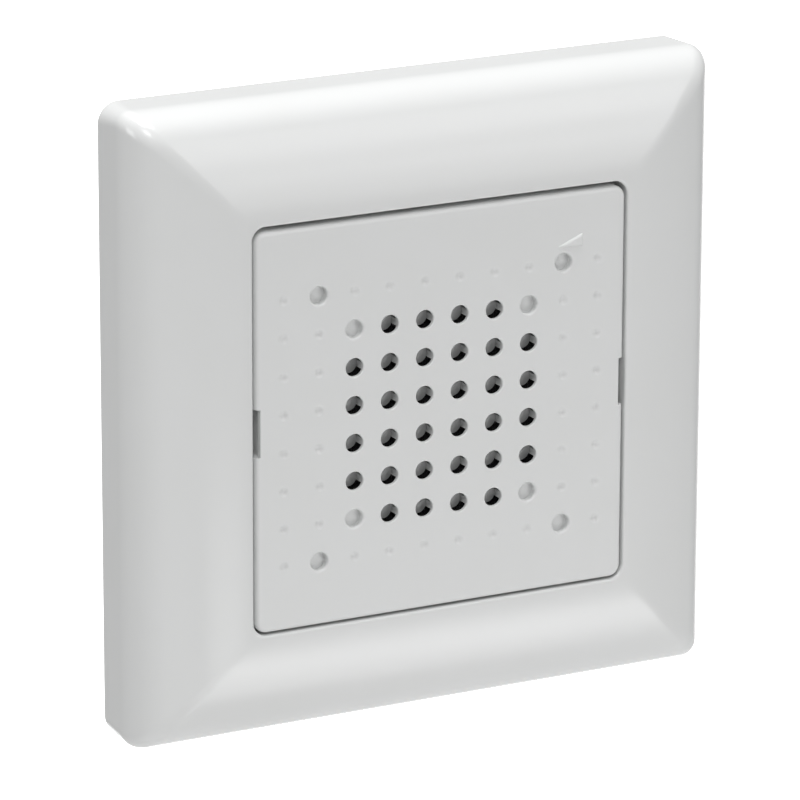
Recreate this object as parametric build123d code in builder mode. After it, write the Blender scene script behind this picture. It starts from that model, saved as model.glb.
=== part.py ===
from build123d import *
from math import cos, radians, sin
import os

os.makedirs("parts", exist_ok=True)

# A flush-mounted electronic door chime, in millimetres. +Z is up and the front looks along -Y.
# The origin is the point of the wall behind the middle of the cover frame. Every height is
# measured off the wall, towards the room, so a negative height lies inside the wall box.

# General clearances
overrun = 1.0               # how far a cutter runs past what it cuts
moving_gap = 0.3            # between pieces that move apart
seat_gap = 0.2              # between pieces that only rest near each other
running_fit = 0.07          # radial clearance of a thread or shaft in its hole
wire_radius = 0.4

# Cover frame
frame_width = 80.0
frame_height = 12.8
frame_wall = 1.8
side_wall_height = 5.2      # straight part of the outer side, from the wall up
shoulder_inset = 3.4        # from the side inwards to where the tight curve ends
shoulder_drop = 2.3         # from the front down to the same place
border_width = 0.9          # flat strip round the opening
frame_corner_radius = 3.5
opening_width = 51.4
opening_corner_radius = 1.8
opening_edge_radius = 0.3
ledge_width = 2.0           # step in the opening on which the centre plate sits
ledge_thickness = 1.2
web_thickness = 1.2
web_shift = 5.0             # of a stiffening web, in from the line of the tray's corner bosses
web_height = 4.0            # lower edge of the webs off the wall

# Centre plate
plate_gap = 0.3
plate_wall = 1.6
plate_corner_radius = 1.5
plate_edge_radius = 0.6
skirt_depth = 3.2
skirt_wall = 1.2
notch_length = 6.1
notch_width = 0.8
notch_drop = 2.0

# Field of marks in the centre plate
field_margin = 3.8          # from the plate's edge to the middle of the outer column
mark_columns = 10
mark_rows = 8
grille_count = 6            # holes along each side of the square sound field
field_drop = 0.5            # the field's centre lies this far below the plate's centre
hole_radius = 1.2
hole_sides = 12             # the repeated marks are polygons, which keeps the model light
blind_depth = 1.6
blind_floor = 0.8
blind_wall = 0.9
dimple_radius = 0.6
dimple_sides = 8
dimple_depth = 0.2
dimple_side_angle = 55
wedge_length = 3.9          # raised wedge above the blind hole at the top right
wedge_width = 1.6
wedge_relief = 0.25
wedge_side_angle = 40
wedge_shift = 1.3           # from the hole's middle back to the thin end
wedge_lift = 1.9            # from the hole's middle up to the lower edge

# Labyrinth behind the sound holes
grille_skin = 0.5
pad_drop = 1.8              # from the front of the plate to the face of a pad
pad_thickness = 0.6
rib_width = 0.85
grille_frame_wall = 1.0
cloth_thickness = 0.3

# Snap arms of the centre plate
arm_thickness = 1.2
arm_width = 5.0
arm_inset = 2.6             # from a corner boss of the tray to the arm beside it
arm_depth = 5.2             # below the plate's wall
barb_height = 1.6
barb_depth = 0.5

# Support plate
support_inset = 3.2         # from the inside of the cover frame
support_thickness = 1.0
support_corner_radius = 6.0
rim_height = 1.6
box_screw_margin = 5.0      # from the plate's edge to the middle of a slot
box_slot_width = 4.2
box_slot_length = 5.7

# Housing: square tray in front of the support plate, round cup in the wall box
tray_wall = 1.5
tray_floor = 1.5
tray_corner_radius = 3.0
cup_step = 0.5              # from the side of the tray in to the cup
cup_wall = 1.5
stake_radius = 1.25
stake_head_radius = 2.0
stake_head = 0.5            # sunk into the back of the support plate
corner_boss_radius = 2.5
corner_inset = 4.6          # from the outside of the tray to the middle of a corner boss
board_boss_radius = 2.2
board_boss_height = 1.5
board_boss_angles = (90, 210, 330)

# Loudspeaker carrier
carrier_drop = 0.5          # below the edge of the tray
carrier_thickness = 1.4
carrier_corner_radius = 1.2
ring_wall = 1.4
ring_depth = 2.2
hook_width = 6.0
hook_depth = 0.9
hook_thickness = 0.7

# Loudspeaker
basket_margin = 3.4         # from the side of the carrier in to the flange
basket_wall = 0.8
flange_width = 2.2
gasket_width = 1.8
gasket_thickness = 0.3
surround_rim = 0.2
roll_radius = 1.1
roll_thickness = 0.25
roll_sides = 4              # the roll's arch and the cap's dome are drawn in straight lengths
cap_sides = 2
cone_thickness = 0.35
neck_height = 2.3
former_radius = 3.6
former_thickness = 0.25
winding_thickness = 0.15
winding_length = 1.3
dust_cap_radius = 5.6
dust_cap_rise = 1.5
dust_cap_thickness = 0.25
spider_seat_height = 1.2
spider_seat_width = 1.6
spider_thickness = 0.2
spider_wave = 0.5
spider_waves = 3
basket_floor_height = -1.0
basket_floor_share = 0.58   # of the flange's radius
window_length = 9.0
top_plate_thickness = 1.5
magnet_edge = 0.8           # the magnet stands out this far past its steel plates
magnet_bore = 5.6
magnet_thickness = 3.5
yoke_thickness = 1.5
pole_radius = 3.3
tag_strip_length = 8.0
tag_strip_width = 4.4
tag_strip_thickness = 0.8
tag_angle = 240
tag_gap = 3.0
tag_width = 1.6
tag_length = 3.0
tag_thickness = 0.3

# Volume control
trimmer_width = 6.0
trimmer_floor = 1.0
rotor_shaft_radius = 1.2
rotor_head_radius = 2.3
rotor_head_height = 2.0
rotor_slot_width = 0.6
rotor_slot_depth = 0.8
volume_lead_gap = 0.6

# Circuit board and what stands on it; places are shares of the board's radius, across and up
board_room = 3.7            # between the magnet and the board
board_thickness = 1.6
board_gap = 0.4
chip_width = 3.9
chip_span = 6.0
chip_height = 1.7
chip_leg_width = 0.4
chip_leg_height = 0.4
chip_leg_pitch = 1.27
sound_chip_length = 9.9
sound_chip_shares = (0, 0.31)
amplifier_length = 4.9
amplifier_shares = (-0.29, -0.02)
small_can_radius = 3.15
small_can_height = 11.0
large_can_radius = 4.0
large_can_height = 10.0
small_can_angles = (150, 178)
large_can_angle = 0
diode_radius = 1.35
diode_length = 5.2
diode_gap = 0.5
diode_count = 4
diode_shares = (0.37, -0.35)
resistor_radius = 0.9
resistor_length = 3.4
resistor_gap = 0.8
resistor_count = 4
resistor_shares = (-0.255, -0.54)
lead_radius = 0.3
lead_overhang = 1.5
disc_radius = 2.5
disc_thickness = 2.0
disc_lift = 0.7

# Screws
screw_radius = 0.9
screw_head_radius = 1.9
screw_head_height = 1.1
screw_clearance_radius = 1.2
board_screw_length = 3.4

# Terminal block, measured from the back of the circuit board towards the rear
pole_distance = 5.08        # between the middles of the two poles
block_wall = 0.7
block_end_wall = 1.35
block_inset = 8.8           # from the board's edge to the middle of the block
screw_seat = 0.8            # plastic between the pocket and the screw's head
head_recess = 1.6
cage_width = 3.7
cage_length = 4.0
cage_wall = 0.6
cage_end_wall = 0.8
cage_start = 2.2
cage_height = 5.4
cage_travel = 1.7
clamp_screw_radius = 1.25
clamp_head_radius = 1.9
clamp_head_height = 1.2
clamp_slot_width = 0.6
clamp_slot_depth = 0.6
wire_room = 2.2             # between the open cage's floor and the contact
contact_thickness = 0.8
contact_leg = 0.6
entry_width = 3.2

# Heights and widths that follow from the sizes above, from the front to the rear
plate_width = opening_width - 2 * plate_gap
plate_back = frame_height - plate_wall
mark_pitch = (plate_width - 2 * field_margin) / (mark_columns - 1)
grille_back = frame_height - pad_drop - pad_thickness
grille_width = grille_count * mark_pitch
cloth_width = grille_width + 2 * grille_frame_wall
ledge_top = frame_height - skirt_depth - moving_gap
ledge_bottom = ledge_top - ledge_thickness
ledge_opening = opening_width - 2 * ledge_width

support_width = frame_width - 2 * frame_wall - 2 * support_inset
box_screw_distance = support_width - 2 * box_screw_margin

tray_width = ledge_opening - 2 * moving_gap - 2 * seat_gap
tray_inner = tray_width - 2 * tray_wall
tray_top = ledge_top
tray_floor_top = support_thickness + tray_floor
corner_place = tray_width / 2 - corner_inset
web_distance = 2 * (tray_width / 2 - web_shift)
arm_outer = tray_inner / 2 - moving_gap
arm_end = plate_back - arm_depth
arm_distance = 2 * (corner_place - corner_boss_radius - arm_inset) - arm_width

carrier_width = tray_inner - 2 * moving_gap
carrier_top = tray_top - carrier_drop
carrier_height = carrier_top - carrier_thickness
basket_radius = carrier_width / 2 - basket_margin
carrier_bore = basket_radius - gasket_width
flange_front = carrier_height - gasket_thickness - surround_rim
flange_back = flange_front - basket_wall
flange_inner = basket_radius - flange_width
cone_radius = flange_inner - seat_gap - 2 * roll_radius - moving_gap
cone_front = flange_front
former_outer = former_radius + former_thickness
basket_floor_radius = basket_floor_share * basket_radius
spider_outer = basket_floor_radius + spider_seat_width
basket_floor_back = basket_floor_height - basket_wall
magnet_radius = basket_floor_radius + basket_wall
top_plate_radius = magnet_radius - magnet_edge
top_plate_back = basket_floor_back - top_plate_thickness
magnet_back = top_plate_back - magnet_thickness
yoke_back = magnet_back - yoke_thickness
gap_radius = former_outer + winding_thickness + moving_gap

board_front = yoke_back - board_room
board_back = board_front - board_thickness
cup_floor = board_back - board_boss_height
cup_depth = cup_wall - cup_floor
cup_radius = tray_width / 2 - cup_step
cup_inner = cup_radius - cup_wall
board_radius = cup_inner - board_gap
board_screw_circle = board_radius - board_boss_radius
block_drop = board_radius - block_inset
trimmer_height = carrier_height - tray_floor_top - moving_gap
rotor_shaft_length = trimmer_height - trimmer_floor
block_middle = -block_drop
pocket_width = cage_width + 2 * moving_gap
pocket_back = cage_length / 2 + contact_leg + 2 * seat_gap
pocket_front = cage_length / 2 + moving_gap
pocket_start = cage_start - 2 * seat_gap
pocket_end = cage_start + cage_height + cage_travel + moving_gap
contact_start = cage_start + cage_end_wall + wire_room
contact_width = cage_width - 2 * cage_wall - 2 * moving_gap
block_width = pole_distance + pocket_width + 2 * block_wall
block_depth = pocket_back + pocket_front + 2 * block_end_wall
block_height = pocket_end + screw_seat + head_recess

volume_x = (mark_columns - 3) * mark_pitch / 2
volume_z = (mark_rows - 1) * mark_pitch / 2 - field_drop
corner_boss_places = [
    (-corner_place, corner_place),
    (-corner_place, -corner_place),
    (corner_place, -corner_place),
]


def off_wall(height):
    """The plane at this height off the wall, facing the room."""
    return Plane.XZ.offset(height)


def pillow_block(half_width, top, start):
    """A solid whose section is the same across and up, so that the two runs meet in mitred corners.

    The section has a straight side, a tight arc to the shoulder and a wide arc to the flat border.
    """
    shoulder = (half_width - shoulder_inset, top - shoulder_drop)
    across = Plane(origin=(0, 0, 0), x_dir=(1, 0, 0), z_dir=(0, 0, -1))
    upright = Plane(origin=(0, 0, 0), x_dir=(0, 0, 1), z_dir=(1, 0, 0))
    with BuildPart() as block:
        for section_plane, run_mode in ((across, Mode.ADD), (upright, Mode.INTERSECT)):
            with BuildSketch(section_plane):
                with BuildLine():
                    base = Line((0, start), (half_width, start))
                    side = Line(base @ 1, (half_width, side_wall_height))
                    turn = TangentArc(side @ 1, shoulder, tangent=side % 1)
                    slope = TangentArc(turn @ 1, (opening_width / 2 + border_width, top), tangent=turn % 1)
                    Line(slope @ 1, (0, top))
                    mirror(about=Plane.YZ)
                make_face()
            extrude(amount=half_width, both=True, mode=run_mode)
    return block


# Cover frame
frame_block = pillow_block(frame_width / 2, frame_height, 0)
frame_hollow = pillow_block(frame_width / 2 - frame_wall, frame_height - frame_wall, -overrun)
with BuildPart() as cover_frame:
    add(frame_block.part)
    with BuildSketch(off_wall(0)):
        RectangleRounded(frame_width, frame_width, frame_corner_radius)
    extrude(amount=frame_height, mode=Mode.INTERSECT)
    add(frame_hollow.part, mode=Mode.SUBTRACT)
    with BuildSketch(off_wall(ledge_bottom)):
        RectangleRounded(
            opening_width + 2 * frame_wall, opening_width + 2 * frame_wall, opening_corner_radius + frame_wall
        )
    extrude(amount=frame_height - ledge_bottom)
    with BuildSketch(off_wall(web_height)):
        with GridLocations(web_distance, 0, 2, 1):
            Rectangle(web_thickness, frame_width - frame_wall)
        with GridLocations(0, web_distance, 1, 2):
            Rectangle(frame_width - frame_wall, web_thickness)
        Rectangle(ledge_opening, ledge_opening, mode=Mode.SUBTRACT)
    extrude(amount=frame_height - web_height)
    add(frame_block.part, mode=Mode.INTERSECT)
    with BuildSketch(off_wall(web_height - overrun)):
        RectangleRounded(ledge_opening, ledge_opening, opening_corner_radius)
    extrude(amount=frame_height, mode=Mode.SUBTRACT)
    with BuildSketch(off_wall(ledge_top)):
        RectangleRounded(opening_width, opening_width, opening_corner_radius)
    extrude(amount=frame_height, mode=Mode.SUBTRACT)
    border = cover_frame.faces().sort_by(Axis.Y)[0]
    fillet(border.inner_wires()[0].edges(), radius=opening_edge_radius)
cover_frame.part.label = "cover_frame"
export_step(cover_frame.part, "parts/cover_frame.step")


# Centre plate: which mark sits where, counted from the top left
def mark_place(column, row):
    """Position of one mark across and up, from the middle of the frame."""
    x = (column - (mark_columns - 1) / 2) * mark_pitch
    z = ((mark_rows - 1) / 2 - row) * mark_pitch - field_drop
    return (x, z)


all_marks = [(column, row) for column in range(mark_columns) for row in range(mark_rows)]
field_side = (mark_columns - grille_count) // 2
field_top = (mark_rows - grille_count) // 2
field_ends_x = (field_side, mark_columns - 1 - field_side)
field_ends_z = (field_top, mark_rows - 1 - field_top)
inner_blind = [(column, row) for column in field_ends_x for row in field_ends_z]
outer_blind = [(column, row) for column in (1, mark_columns - 2) for row in (0, mark_rows - 1)]
sound_field = [
    (column, row)
    for column, row in all_marks
    if field_ends_x[0] <= column <= field_ends_x[1] and field_ends_z[0] <= row <= field_ends_z[1]
]
sound_holes = [mark_place(*mark) for mark in sound_field if mark not in inner_blind]
blind_holes = [mark_place(*mark) for mark in inner_blind + outer_blind]
dimples = [mark_place(*mark) for mark in all_marks if mark not in sound_field + outer_blind]

with BuildPart() as centre_plate:
    with BuildSketch(off_wall(frame_height - skirt_depth)):
        RectangleRounded(plate_width, plate_width, plate_corner_radius)
    extrude(amount=skirt_depth)
    fillet(centre_plate.faces().sort_by(Axis.Y)[0].edges(), radius=plate_edge_radius)
    with BuildSketch(off_wall(frame_height - skirt_depth)):
        Rectangle(plate_width - 2 * skirt_wall, plate_width - 2 * skirt_wall)
    extrude(amount=skirt_depth - plate_wall, mode=Mode.SUBTRACT)
    # Well of the sound field, with its frame and the ribs that carry the pads
    with BuildSketch(off_wall(grille_back)):
        with Locations((0, -field_drop)):
            Rectangle(cloth_width, cloth_width)
    extrude(amount=plate_back - grille_back)
    with BuildSketch(off_wall(grille_back)):
        with Locations((0, -field_drop)):
            Rectangle(grille_width, grille_width)
    extrude(amount=frame_height - grille_skin - grille_back, mode=Mode.SUBTRACT)
    with BuildSketch(off_wall(grille_back)):
        with Locations((0, -field_drop)):
            with GridLocations(0, mark_pitch, 1, grille_count):
                Rectangle(grille_width, rib_width)
    extrude(amount=frame_height - grille_skin - grille_back)
    with BuildSketch(off_wall(grille_back)):
        with Locations(*sound_holes):
            RegularPolygon(hole_radius, hole_sides)
    extrude(amount=pad_thickness)
    with BuildSketch(off_wall(frame_height - blind_depth - blind_floor)):
        with Locations(*blind_holes):
            RegularPolygon(hole_radius + blind_wall, hole_sides)
    extrude(amount=blind_depth + blind_floor - grille_skin)
    # Marks cut from the front
    with BuildSketch(off_wall(frame_height)):
        with Locations(*sound_holes):
            RegularPolygon(hole_radius, hole_sides)
    extrude(amount=-pad_drop, mode=Mode.SUBTRACT)
    with BuildSketch(off_wall(frame_height)):
        with Locations(*blind_holes):
            RegularPolygon(hole_radius, hole_sides)
    extrude(amount=-blind_depth, mode=Mode.SUBTRACT)
    with BuildSketch(off_wall(frame_height)):
        with Locations(*dimples):
            RegularPolygon(dimple_radius, dimple_sides)
    extrude(amount=-dimple_depth, taper=dimple_side_angle, mode=Mode.SUBTRACT)
    # Raised wedge
    with BuildSketch(off_wall(frame_height)):
        with BuildLine():
            Polyline(
                (volume_x - wedge_shift, volume_z + wedge_lift),
                (volume_x - wedge_shift + wedge_length, volume_z + wedge_lift),
                (volume_x - wedge_shift + wedge_length, volume_z + wedge_lift + wedge_width),
                close=True,
            )
        make_face()
    extrude(amount=wedge_relief, taper=wedge_side_angle)
    # Release notches in the left and right edge
    with BuildSketch(off_wall(frame_height)):
        with GridLocations(plate_width, 0, 2, 1):
            Rectangle(2 * notch_width, notch_length)
    extrude(amount=-notch_drop, mode=Mode.SUBTRACT)
centre_plate.part.label = "centre_plate"
export_step(centre_plate.part, "parts/centre_plate.step")

# Snap arms, barbed at the end, welded to the back of the centre plate
with BuildPart() as snap_arms:
    for arm_middle in (-arm_distance / 2, arm_distance / 2):
        with BuildSketch(Plane.XY.offset(arm_middle - arm_width / 2)):
            with BuildLine():
                Polyline(
                    (arm_outer - arm_thickness, -plate_back),
                    (arm_outer, -plate_back),
                    (arm_outer, -arm_end - barb_height),
                    (arm_outer + barb_depth, -arm_end - barb_height / 2),
                    (arm_outer, -arm_end),
                    (arm_outer - arm_thickness, -arm_end),
                    close=True,
                )
            make_face()
            mirror(about=Plane.YZ)
        extrude(amount=arm_width)
snap_arms.part.label = "snap_arms"
export_step(snap_arms.part, "parts/snap_arms.step")

# Black gauze glued behind the grille
with BuildPart() as acoustic_cloth:
    with BuildSketch(off_wall(grille_back)):
        with Locations((0, -field_drop)):
            Rectangle(cloth_width, cloth_width)
    extrude(amount=-cloth_thickness)
acoustic_cloth.part.label = "acoustic_cloth"
export_step(acoustic_cloth.part, "parts/acoustic_cloth.step")

# Steel support plate with a rim, four box screw slots and four stake holes
with BuildPart() as support_plate:
    with BuildSketch(off_wall(0)):
        RectangleRounded(support_width, support_width, support_corner_radius)
    extrude(amount=support_thickness)
    with BuildSketch(off_wall(support_thickness)):
        Rectangle(support_width, support_width - 2 * support_corner_radius)
        Rectangle(support_width - 2 * support_corner_radius, support_width)
        Rectangle(support_width - 2 * support_thickness, support_width - 2 * support_thickness, mode=Mode.SUBTRACT)
    extrude(amount=rim_height)
    with BuildSketch(off_wall(0)):
        Circle(cup_radius + seat_gap)
        with GridLocations(box_screw_distance, 0, 2, 1):
            SlotOverall(box_slot_length, box_slot_width)
        with GridLocations(0, box_screw_distance, 1, 2):
            SlotOverall(box_slot_length, box_slot_width, rotation=90)
        with GridLocations(2 * corner_place, 2 * corner_place, 2, 2):
            Circle(stake_radius + running_fit)
    extrude(amount=support_thickness, mode=Mode.SUBTRACT)
    with BuildSketch(off_wall(0)):
        with GridLocations(2 * corner_place, 2 * corner_place, 2, 2):
            Circle(stake_head_radius + running_fit)
    extrude(amount=stake_head, mode=Mode.SUBTRACT)
support_plate.part.label = "support_plate"
export_step(support_plate.part, "parts/support_plate.step")

# Housing
board_boss_places = [
    (board_screw_circle * cos(radians(angle)), board_screw_circle * sin(radians(angle)))
    for angle in board_boss_angles
]
with BuildPart() as housing:
    with BuildSketch(off_wall(support_thickness)):
        RectangleRounded(tray_width, tray_width, tray_corner_radius)
    extrude(amount=tray_top - support_thickness)
    with BuildSketch(off_wall(tray_floor_top)):
        RectangleRounded(tray_inner, tray_inner, tray_corner_radius - tray_wall)
    extrude(amount=tray_top, mode=Mode.SUBTRACT)
    with BuildSketch(off_wall(-cup_depth)):
        Circle(cup_radius)
    extrude(amount=cup_depth + support_thickness)
    with BuildSketch(off_wall(cup_floor)):
        Circle(cup_inner)
    extrude(amount=tray_floor_top - cup_floor, mode=Mode.SUBTRACT)
    # Corner bosses for the carrier's screws
    with BuildSketch(off_wall(tray_floor_top)):
        with Locations(*corner_boss_places):
            Circle(corner_boss_radius)
    extrude(amount=carrier_height - tray_floor_top)
    with BuildSketch(off_wall(carrier_height)):
        with Locations(*corner_boss_places):
            Circle(screw_radius + running_fit)
    extrude(amount=tray_floor / 2 - carrier_height + support_thickness, mode=Mode.SUBTRACT)
    # Stakes that hold the support plate
    with BuildSketch(off_wall(support_thickness)):
        with GridLocations(2 * corner_place, 2 * corner_place, 2, 2):
            Circle(stake_radius)
    extrude(amount=-support_thickness)
    with BuildSketch(off_wall(0)):
        with GridLocations(2 * corner_place, 2 * corner_place, 2, 2):
            Circle(stake_head_radius)
    extrude(amount=stake_head)
    # Board bosses and the window for the terminal block
    with BuildSketch(off_wall(cup_floor)):
        with Locations(*board_boss_places):
            Circle(board_boss_radius)
    extrude(amount=board_boss_height)
    with BuildSketch(off_wall(board_back)):
        with Locations(*board_boss_places):
            Circle(screw_radius + running_fit)
    extrude(amount=board_thickness - board_screw_length, mode=Mode.SUBTRACT)
    with BuildSketch(off_wall(cup_floor)):
        with Locations((0, -block_drop)):
            Rectangle(block_width + 2 * seat_gap, block_depth + 2 * seat_gap)
    extrude(amount=-cup_depth, mode=Mode.SUBTRACT)
    # Grooves for the barbs of the centre plate's arms
    with BuildSketch(off_wall(tray_top)):
        with GridLocations(2 * arm_outer, arm_distance, 2, 2):
            Rectangle(2 * (barb_depth + moving_gap), arm_width + 2 * moving_gap)
    extrude(amount=arm_end - moving_gap - tray_top, mode=Mode.SUBTRACT)
housing.part.label = "housing"
export_step(housing.part, "parts/housing.step")

# Carrier of the loudspeaker: a plate with a locating ring and four hooks
trimmer_pocket = trimmer_width + 2 * seat_gap
with BuildPart() as speaker_carrier:
    with BuildSketch(off_wall(carrier_height - ring_depth)):
        Circle(basket_radius + seat_gap + ring_wall)
        Circle(basket_radius + seat_gap, mode=Mode.SUBTRACT)
    extrude(amount=ring_depth)
    with BuildSketch(off_wall(carrier_height - ring_depth)):
        with PolarLocations(basket_radius + seat_gap + ring_wall / 2, 4):
            Rectangle(ring_wall, hook_width)
        with PolarLocations(basket_radius + seat_gap - hook_depth / 2, 4):
            Rectangle(hook_depth + ring_wall, hook_width)
    extrude(amount=hook_thickness)
    with BuildSketch(off_wall(carrier_height)):
        RectangleRounded(carrier_width, carrier_width, carrier_corner_radius)
        Circle(carrier_bore, mode=Mode.SUBTRACT)
        with GridLocations(2 * arm_outer, arm_distance, 2, 2):
            Rectangle(2 * (arm_thickness + moving_gap), arm_width + 2 * moving_gap, mode=Mode.SUBTRACT)
        with Locations(*corner_boss_places):
            Circle(screw_clearance_radius, mode=Mode.SUBTRACT)
        with Locations((volume_x, volume_z)):
            Circle(rotor_head_radius + moving_gap, mode=Mode.SUBTRACT)
    extrude(amount=carrier_thickness)
    # Room for the volume control and the solder tags in the ring
    with BuildSketch(off_wall(carrier_height)):
        with Locations((volume_x, volume_z)):
            Rectangle(trimmer_pocket, trimmer_pocket)
        with PolarLocations(basket_radius, 1, start_angle=tag_angle):
            Rectangle(2 * tag_strip_width, tag_strip_length + 2 * seat_gap)
    extrude(amount=-ring_depth, mode=Mode.SUBTRACT)
speaker_carrier.part.label = "speaker_carrier"
export_step(speaker_carrier.part, "parts/speaker_carrier.step")

with BuildPart() as carrier_screws:
    with BuildSketch(off_wall(carrier_top)):
        with Locations(*corner_boss_places):
            Circle(screw_head_radius)
    extrude(amount=screw_head_height)
    with BuildSketch(off_wall(carrier_top)):
        with Locations(*corner_boss_places):
            Circle(screw_radius)
    extrude(amount=tray_floor_top - carrier_top)
carrier_screws.part.label = "carrier_screws"
export_step(carrier_screws.part, "parts/carrier_screws.step")

# Loudspeaker, turned about the Y axis: a point is given as radius and minus height
with BuildPart() as speaker_gasket:
    with BuildSketch(off_wall(flange_front + surround_rim)):
        Circle(basket_radius)
        Circle(carrier_bore, mode=Mode.SUBTRACT)
    extrude(amount=gasket_thickness)
speaker_gasket.part.label = "speaker_gasket"
export_step(speaker_gasket.part, "parts/speaker_gasket.step")

with BuildPart() as speaker_basket:
    with BuildSketch(Plane.XY):
        with BuildLine():
            Polyline(
                (basket_radius, -flange_front),
                (basket_radius, -flange_back),
                (flange_inner + basket_wall, -flange_back),
                (spider_outer + basket_wall, basket_wall - spider_seat_height),
                (basket_floor_radius + basket_wall, basket_wall - spider_seat_height),
                (basket_floor_radius + basket_wall, -basket_floor_back),
                (gap_radius, -basket_floor_back),
                (gap_radius, -basket_floor_height),
                (basket_floor_radius, -basket_floor_height),
                (basket_floor_radius, -spider_seat_height),
                (spider_outer, -spider_seat_height),
                (flange_inner, -flange_front),
                close=True,
            )
        make_face()
    revolve(axis=Axis.Y)
    with BuildSketch(off_wall(spider_seat_height + basket_wall)):
        with PolarLocations(basket_radius, 4, start_angle=45):
            Rectangle(2 * (basket_radius - spider_outer - basket_wall), window_length)
    extrude(amount=flange_back - basket_wall - spider_seat_height - basket_wall, mode=Mode.SUBTRACT)
speaker_basket.part.label = "speaker_basket"
export_step(speaker_basket.part, "parts/speaker_basket.step")

roll_middle = cone_radius + moving_gap + roll_radius
roll_angles = [180 * step / roll_sides for step in range(roll_sides + 1)]


def roll_points(radius):
    """The arch of the rolled edge, from its outer to its inner foot."""
    return [
        (roll_middle + radius * cos(radians(angle)), -flange_front - radius * sin(radians(angle)))
        for angle in roll_angles
    ]


with BuildPart() as cone_surround:
    with BuildSketch(Plane.XY):
        with BuildLine():
            Polyline(*roll_points(roll_radius), *reversed(roll_points(roll_radius - roll_thickness)), close=True)
        make_face()
        with Locations((roll_middle + roll_radius - roll_thickness, -flange_front)):
            Rectangle(basket_radius - roll_middle - roll_radius + roll_thickness, surround_rim, align=(Align.MIN, Align.MAX))
    revolve(axis=Axis.Y)
cone_surround.part.label = "cone_surround"
export_step(cone_surround.part, "parts/cone_surround.step")

with BuildPart() as speaker_cone:
    with BuildSketch(Plane.XY):
        with BuildLine():
            Polyline(
                (former_outer, -neck_height),
                (former_outer, -neck_height - 2 * cone_thickness),
                (cone_radius - cone_thickness, -cone_front),
                (cone_radius, -cone_front),
                (cone_radius, -cone_front + cone_thickness),
                (former_outer + cone_thickness, -neck_height),
                close=True,
            )
        make_face()
    revolve(axis=Axis.Y)
speaker_cone.part.label = "speaker_cone"
export_step(speaker_cone.part, "parts/speaker_cone.step")

# The dust cap's rim rests on the front face of the cone
cone_face_start = neck_height + 2 * cone_thickness
cone_face_slope = (cone_front - cone_face_start) / (cone_radius - cone_thickness - former_outer)
dust_cap_height = cone_face_start + cone_face_slope * (dust_cap_radius - former_outer)
cap_shares = [step / cap_sides for step in range(cap_sides + 1)]


def cap_points(radius, rise):
    """Half of the shallow dome, from the middle to the rim."""
    return [(radius * share, -dust_cap_height - rise * (1 - share**2)) for share in cap_shares]


with BuildPart() as dust_cap:
    with BuildSketch(Plane.XY):
        with BuildLine():
            Polyline(
                *cap_points(dust_cap_radius, dust_cap_rise),
                *reversed(cap_points(dust_cap_radius - dust_cap_thickness, dust_cap_rise - dust_cap_thickness)),
                close=True,
            )
        make_face()
    revolve(axis=Axis.Y)
dust_cap.part.label = "dust_cap"
export_step(dust_cap.part, "parts/dust_cap.step")

coil_back = basket_floor_back - top_plate_thickness / 2 - winding_length / 2
with BuildPart() as voice_coil:
    with BuildSketch(off_wall(coil_back)):
        Circle(former_outer)
        Circle(former_radius, mode=Mode.SUBTRACT)
    extrude(amount=neck_height + 2 * cone_thickness - coil_back)
    with BuildSketch(off_wall(coil_back)):
        Circle(former_outer + winding_thickness)
        Circle(former_radius, mode=Mode.SUBTRACT)
    extrude(amount=winding_length)
voice_coil.part.label = "voice_coil"
export_step(voice_coil.part, "parts/voice_coil.step")

# Centring disc: a flat rim on the basket's step and a row of waves towards the coil
spider_inner = former_outer + winding_thickness + moving_gap
wave_length = (basket_floor_radius - spider_inner) / spider_waves
wave_points = [
    (spider_inner + index * wave_length / 2, (index % 2) * spider_wave) for index in range(2 * spider_waves + 1)
]
with BuildPart() as spider:
    with BuildSketch(Plane.XY):
        with BuildLine():
            Polyline(
                *[(radius, -spider_seat_height - rise) for radius, rise in wave_points],
                (spider_outer, -spider_seat_height),
                (spider_outer, -spider_seat_height - spider_thickness),
                *[
                    (radius, -spider_seat_height - spider_thickness - rise)
                    for radius, rise in reversed(wave_points)
                ],
                close=True,
            )
        make_face()
    revolve(axis=Axis.Y)
spider.part.label = "spider"
export_step(spider.part, "parts/spider.step")

with BuildPart() as magnet_top_plate:
    with BuildSketch(off_wall(top_plate_back)):
        Circle(top_plate_radius)
        Circle(gap_radius, mode=Mode.SUBTRACT)
    extrude(amount=top_plate_thickness)
magnet_top_plate.part.label = "magnet_top_plate"
export_step(magnet_top_plate.part, "parts/magnet_top_plate.step")

with BuildPart() as speaker_magnet:
    with BuildSketch(off_wall(magnet_back)):
        Circle(magnet_radius)
        Circle(magnet_bore, mode=Mode.SUBTRACT)
    extrude(amount=magnet_thickness)
speaker_magnet.part.label = "speaker_magnet"
export_step(speaker_magnet.part, "parts/speaker_magnet.step")

with BuildPart() as magnet_yoke:
    with BuildSketch(off_wall(magnet_back - yoke_thickness)):
        Circle(top_plate_radius)
    extrude(amount=yoke_thickness)
    with BuildSketch(off_wall(magnet_back)):
        Circle(pole_radius)
    extrude(amount=basket_floor_back - magnet_back)
magnet_yoke.part.label = "magnet_yoke"
export_step(magnet_yoke.part, "parts/magnet_yoke.step")

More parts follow.
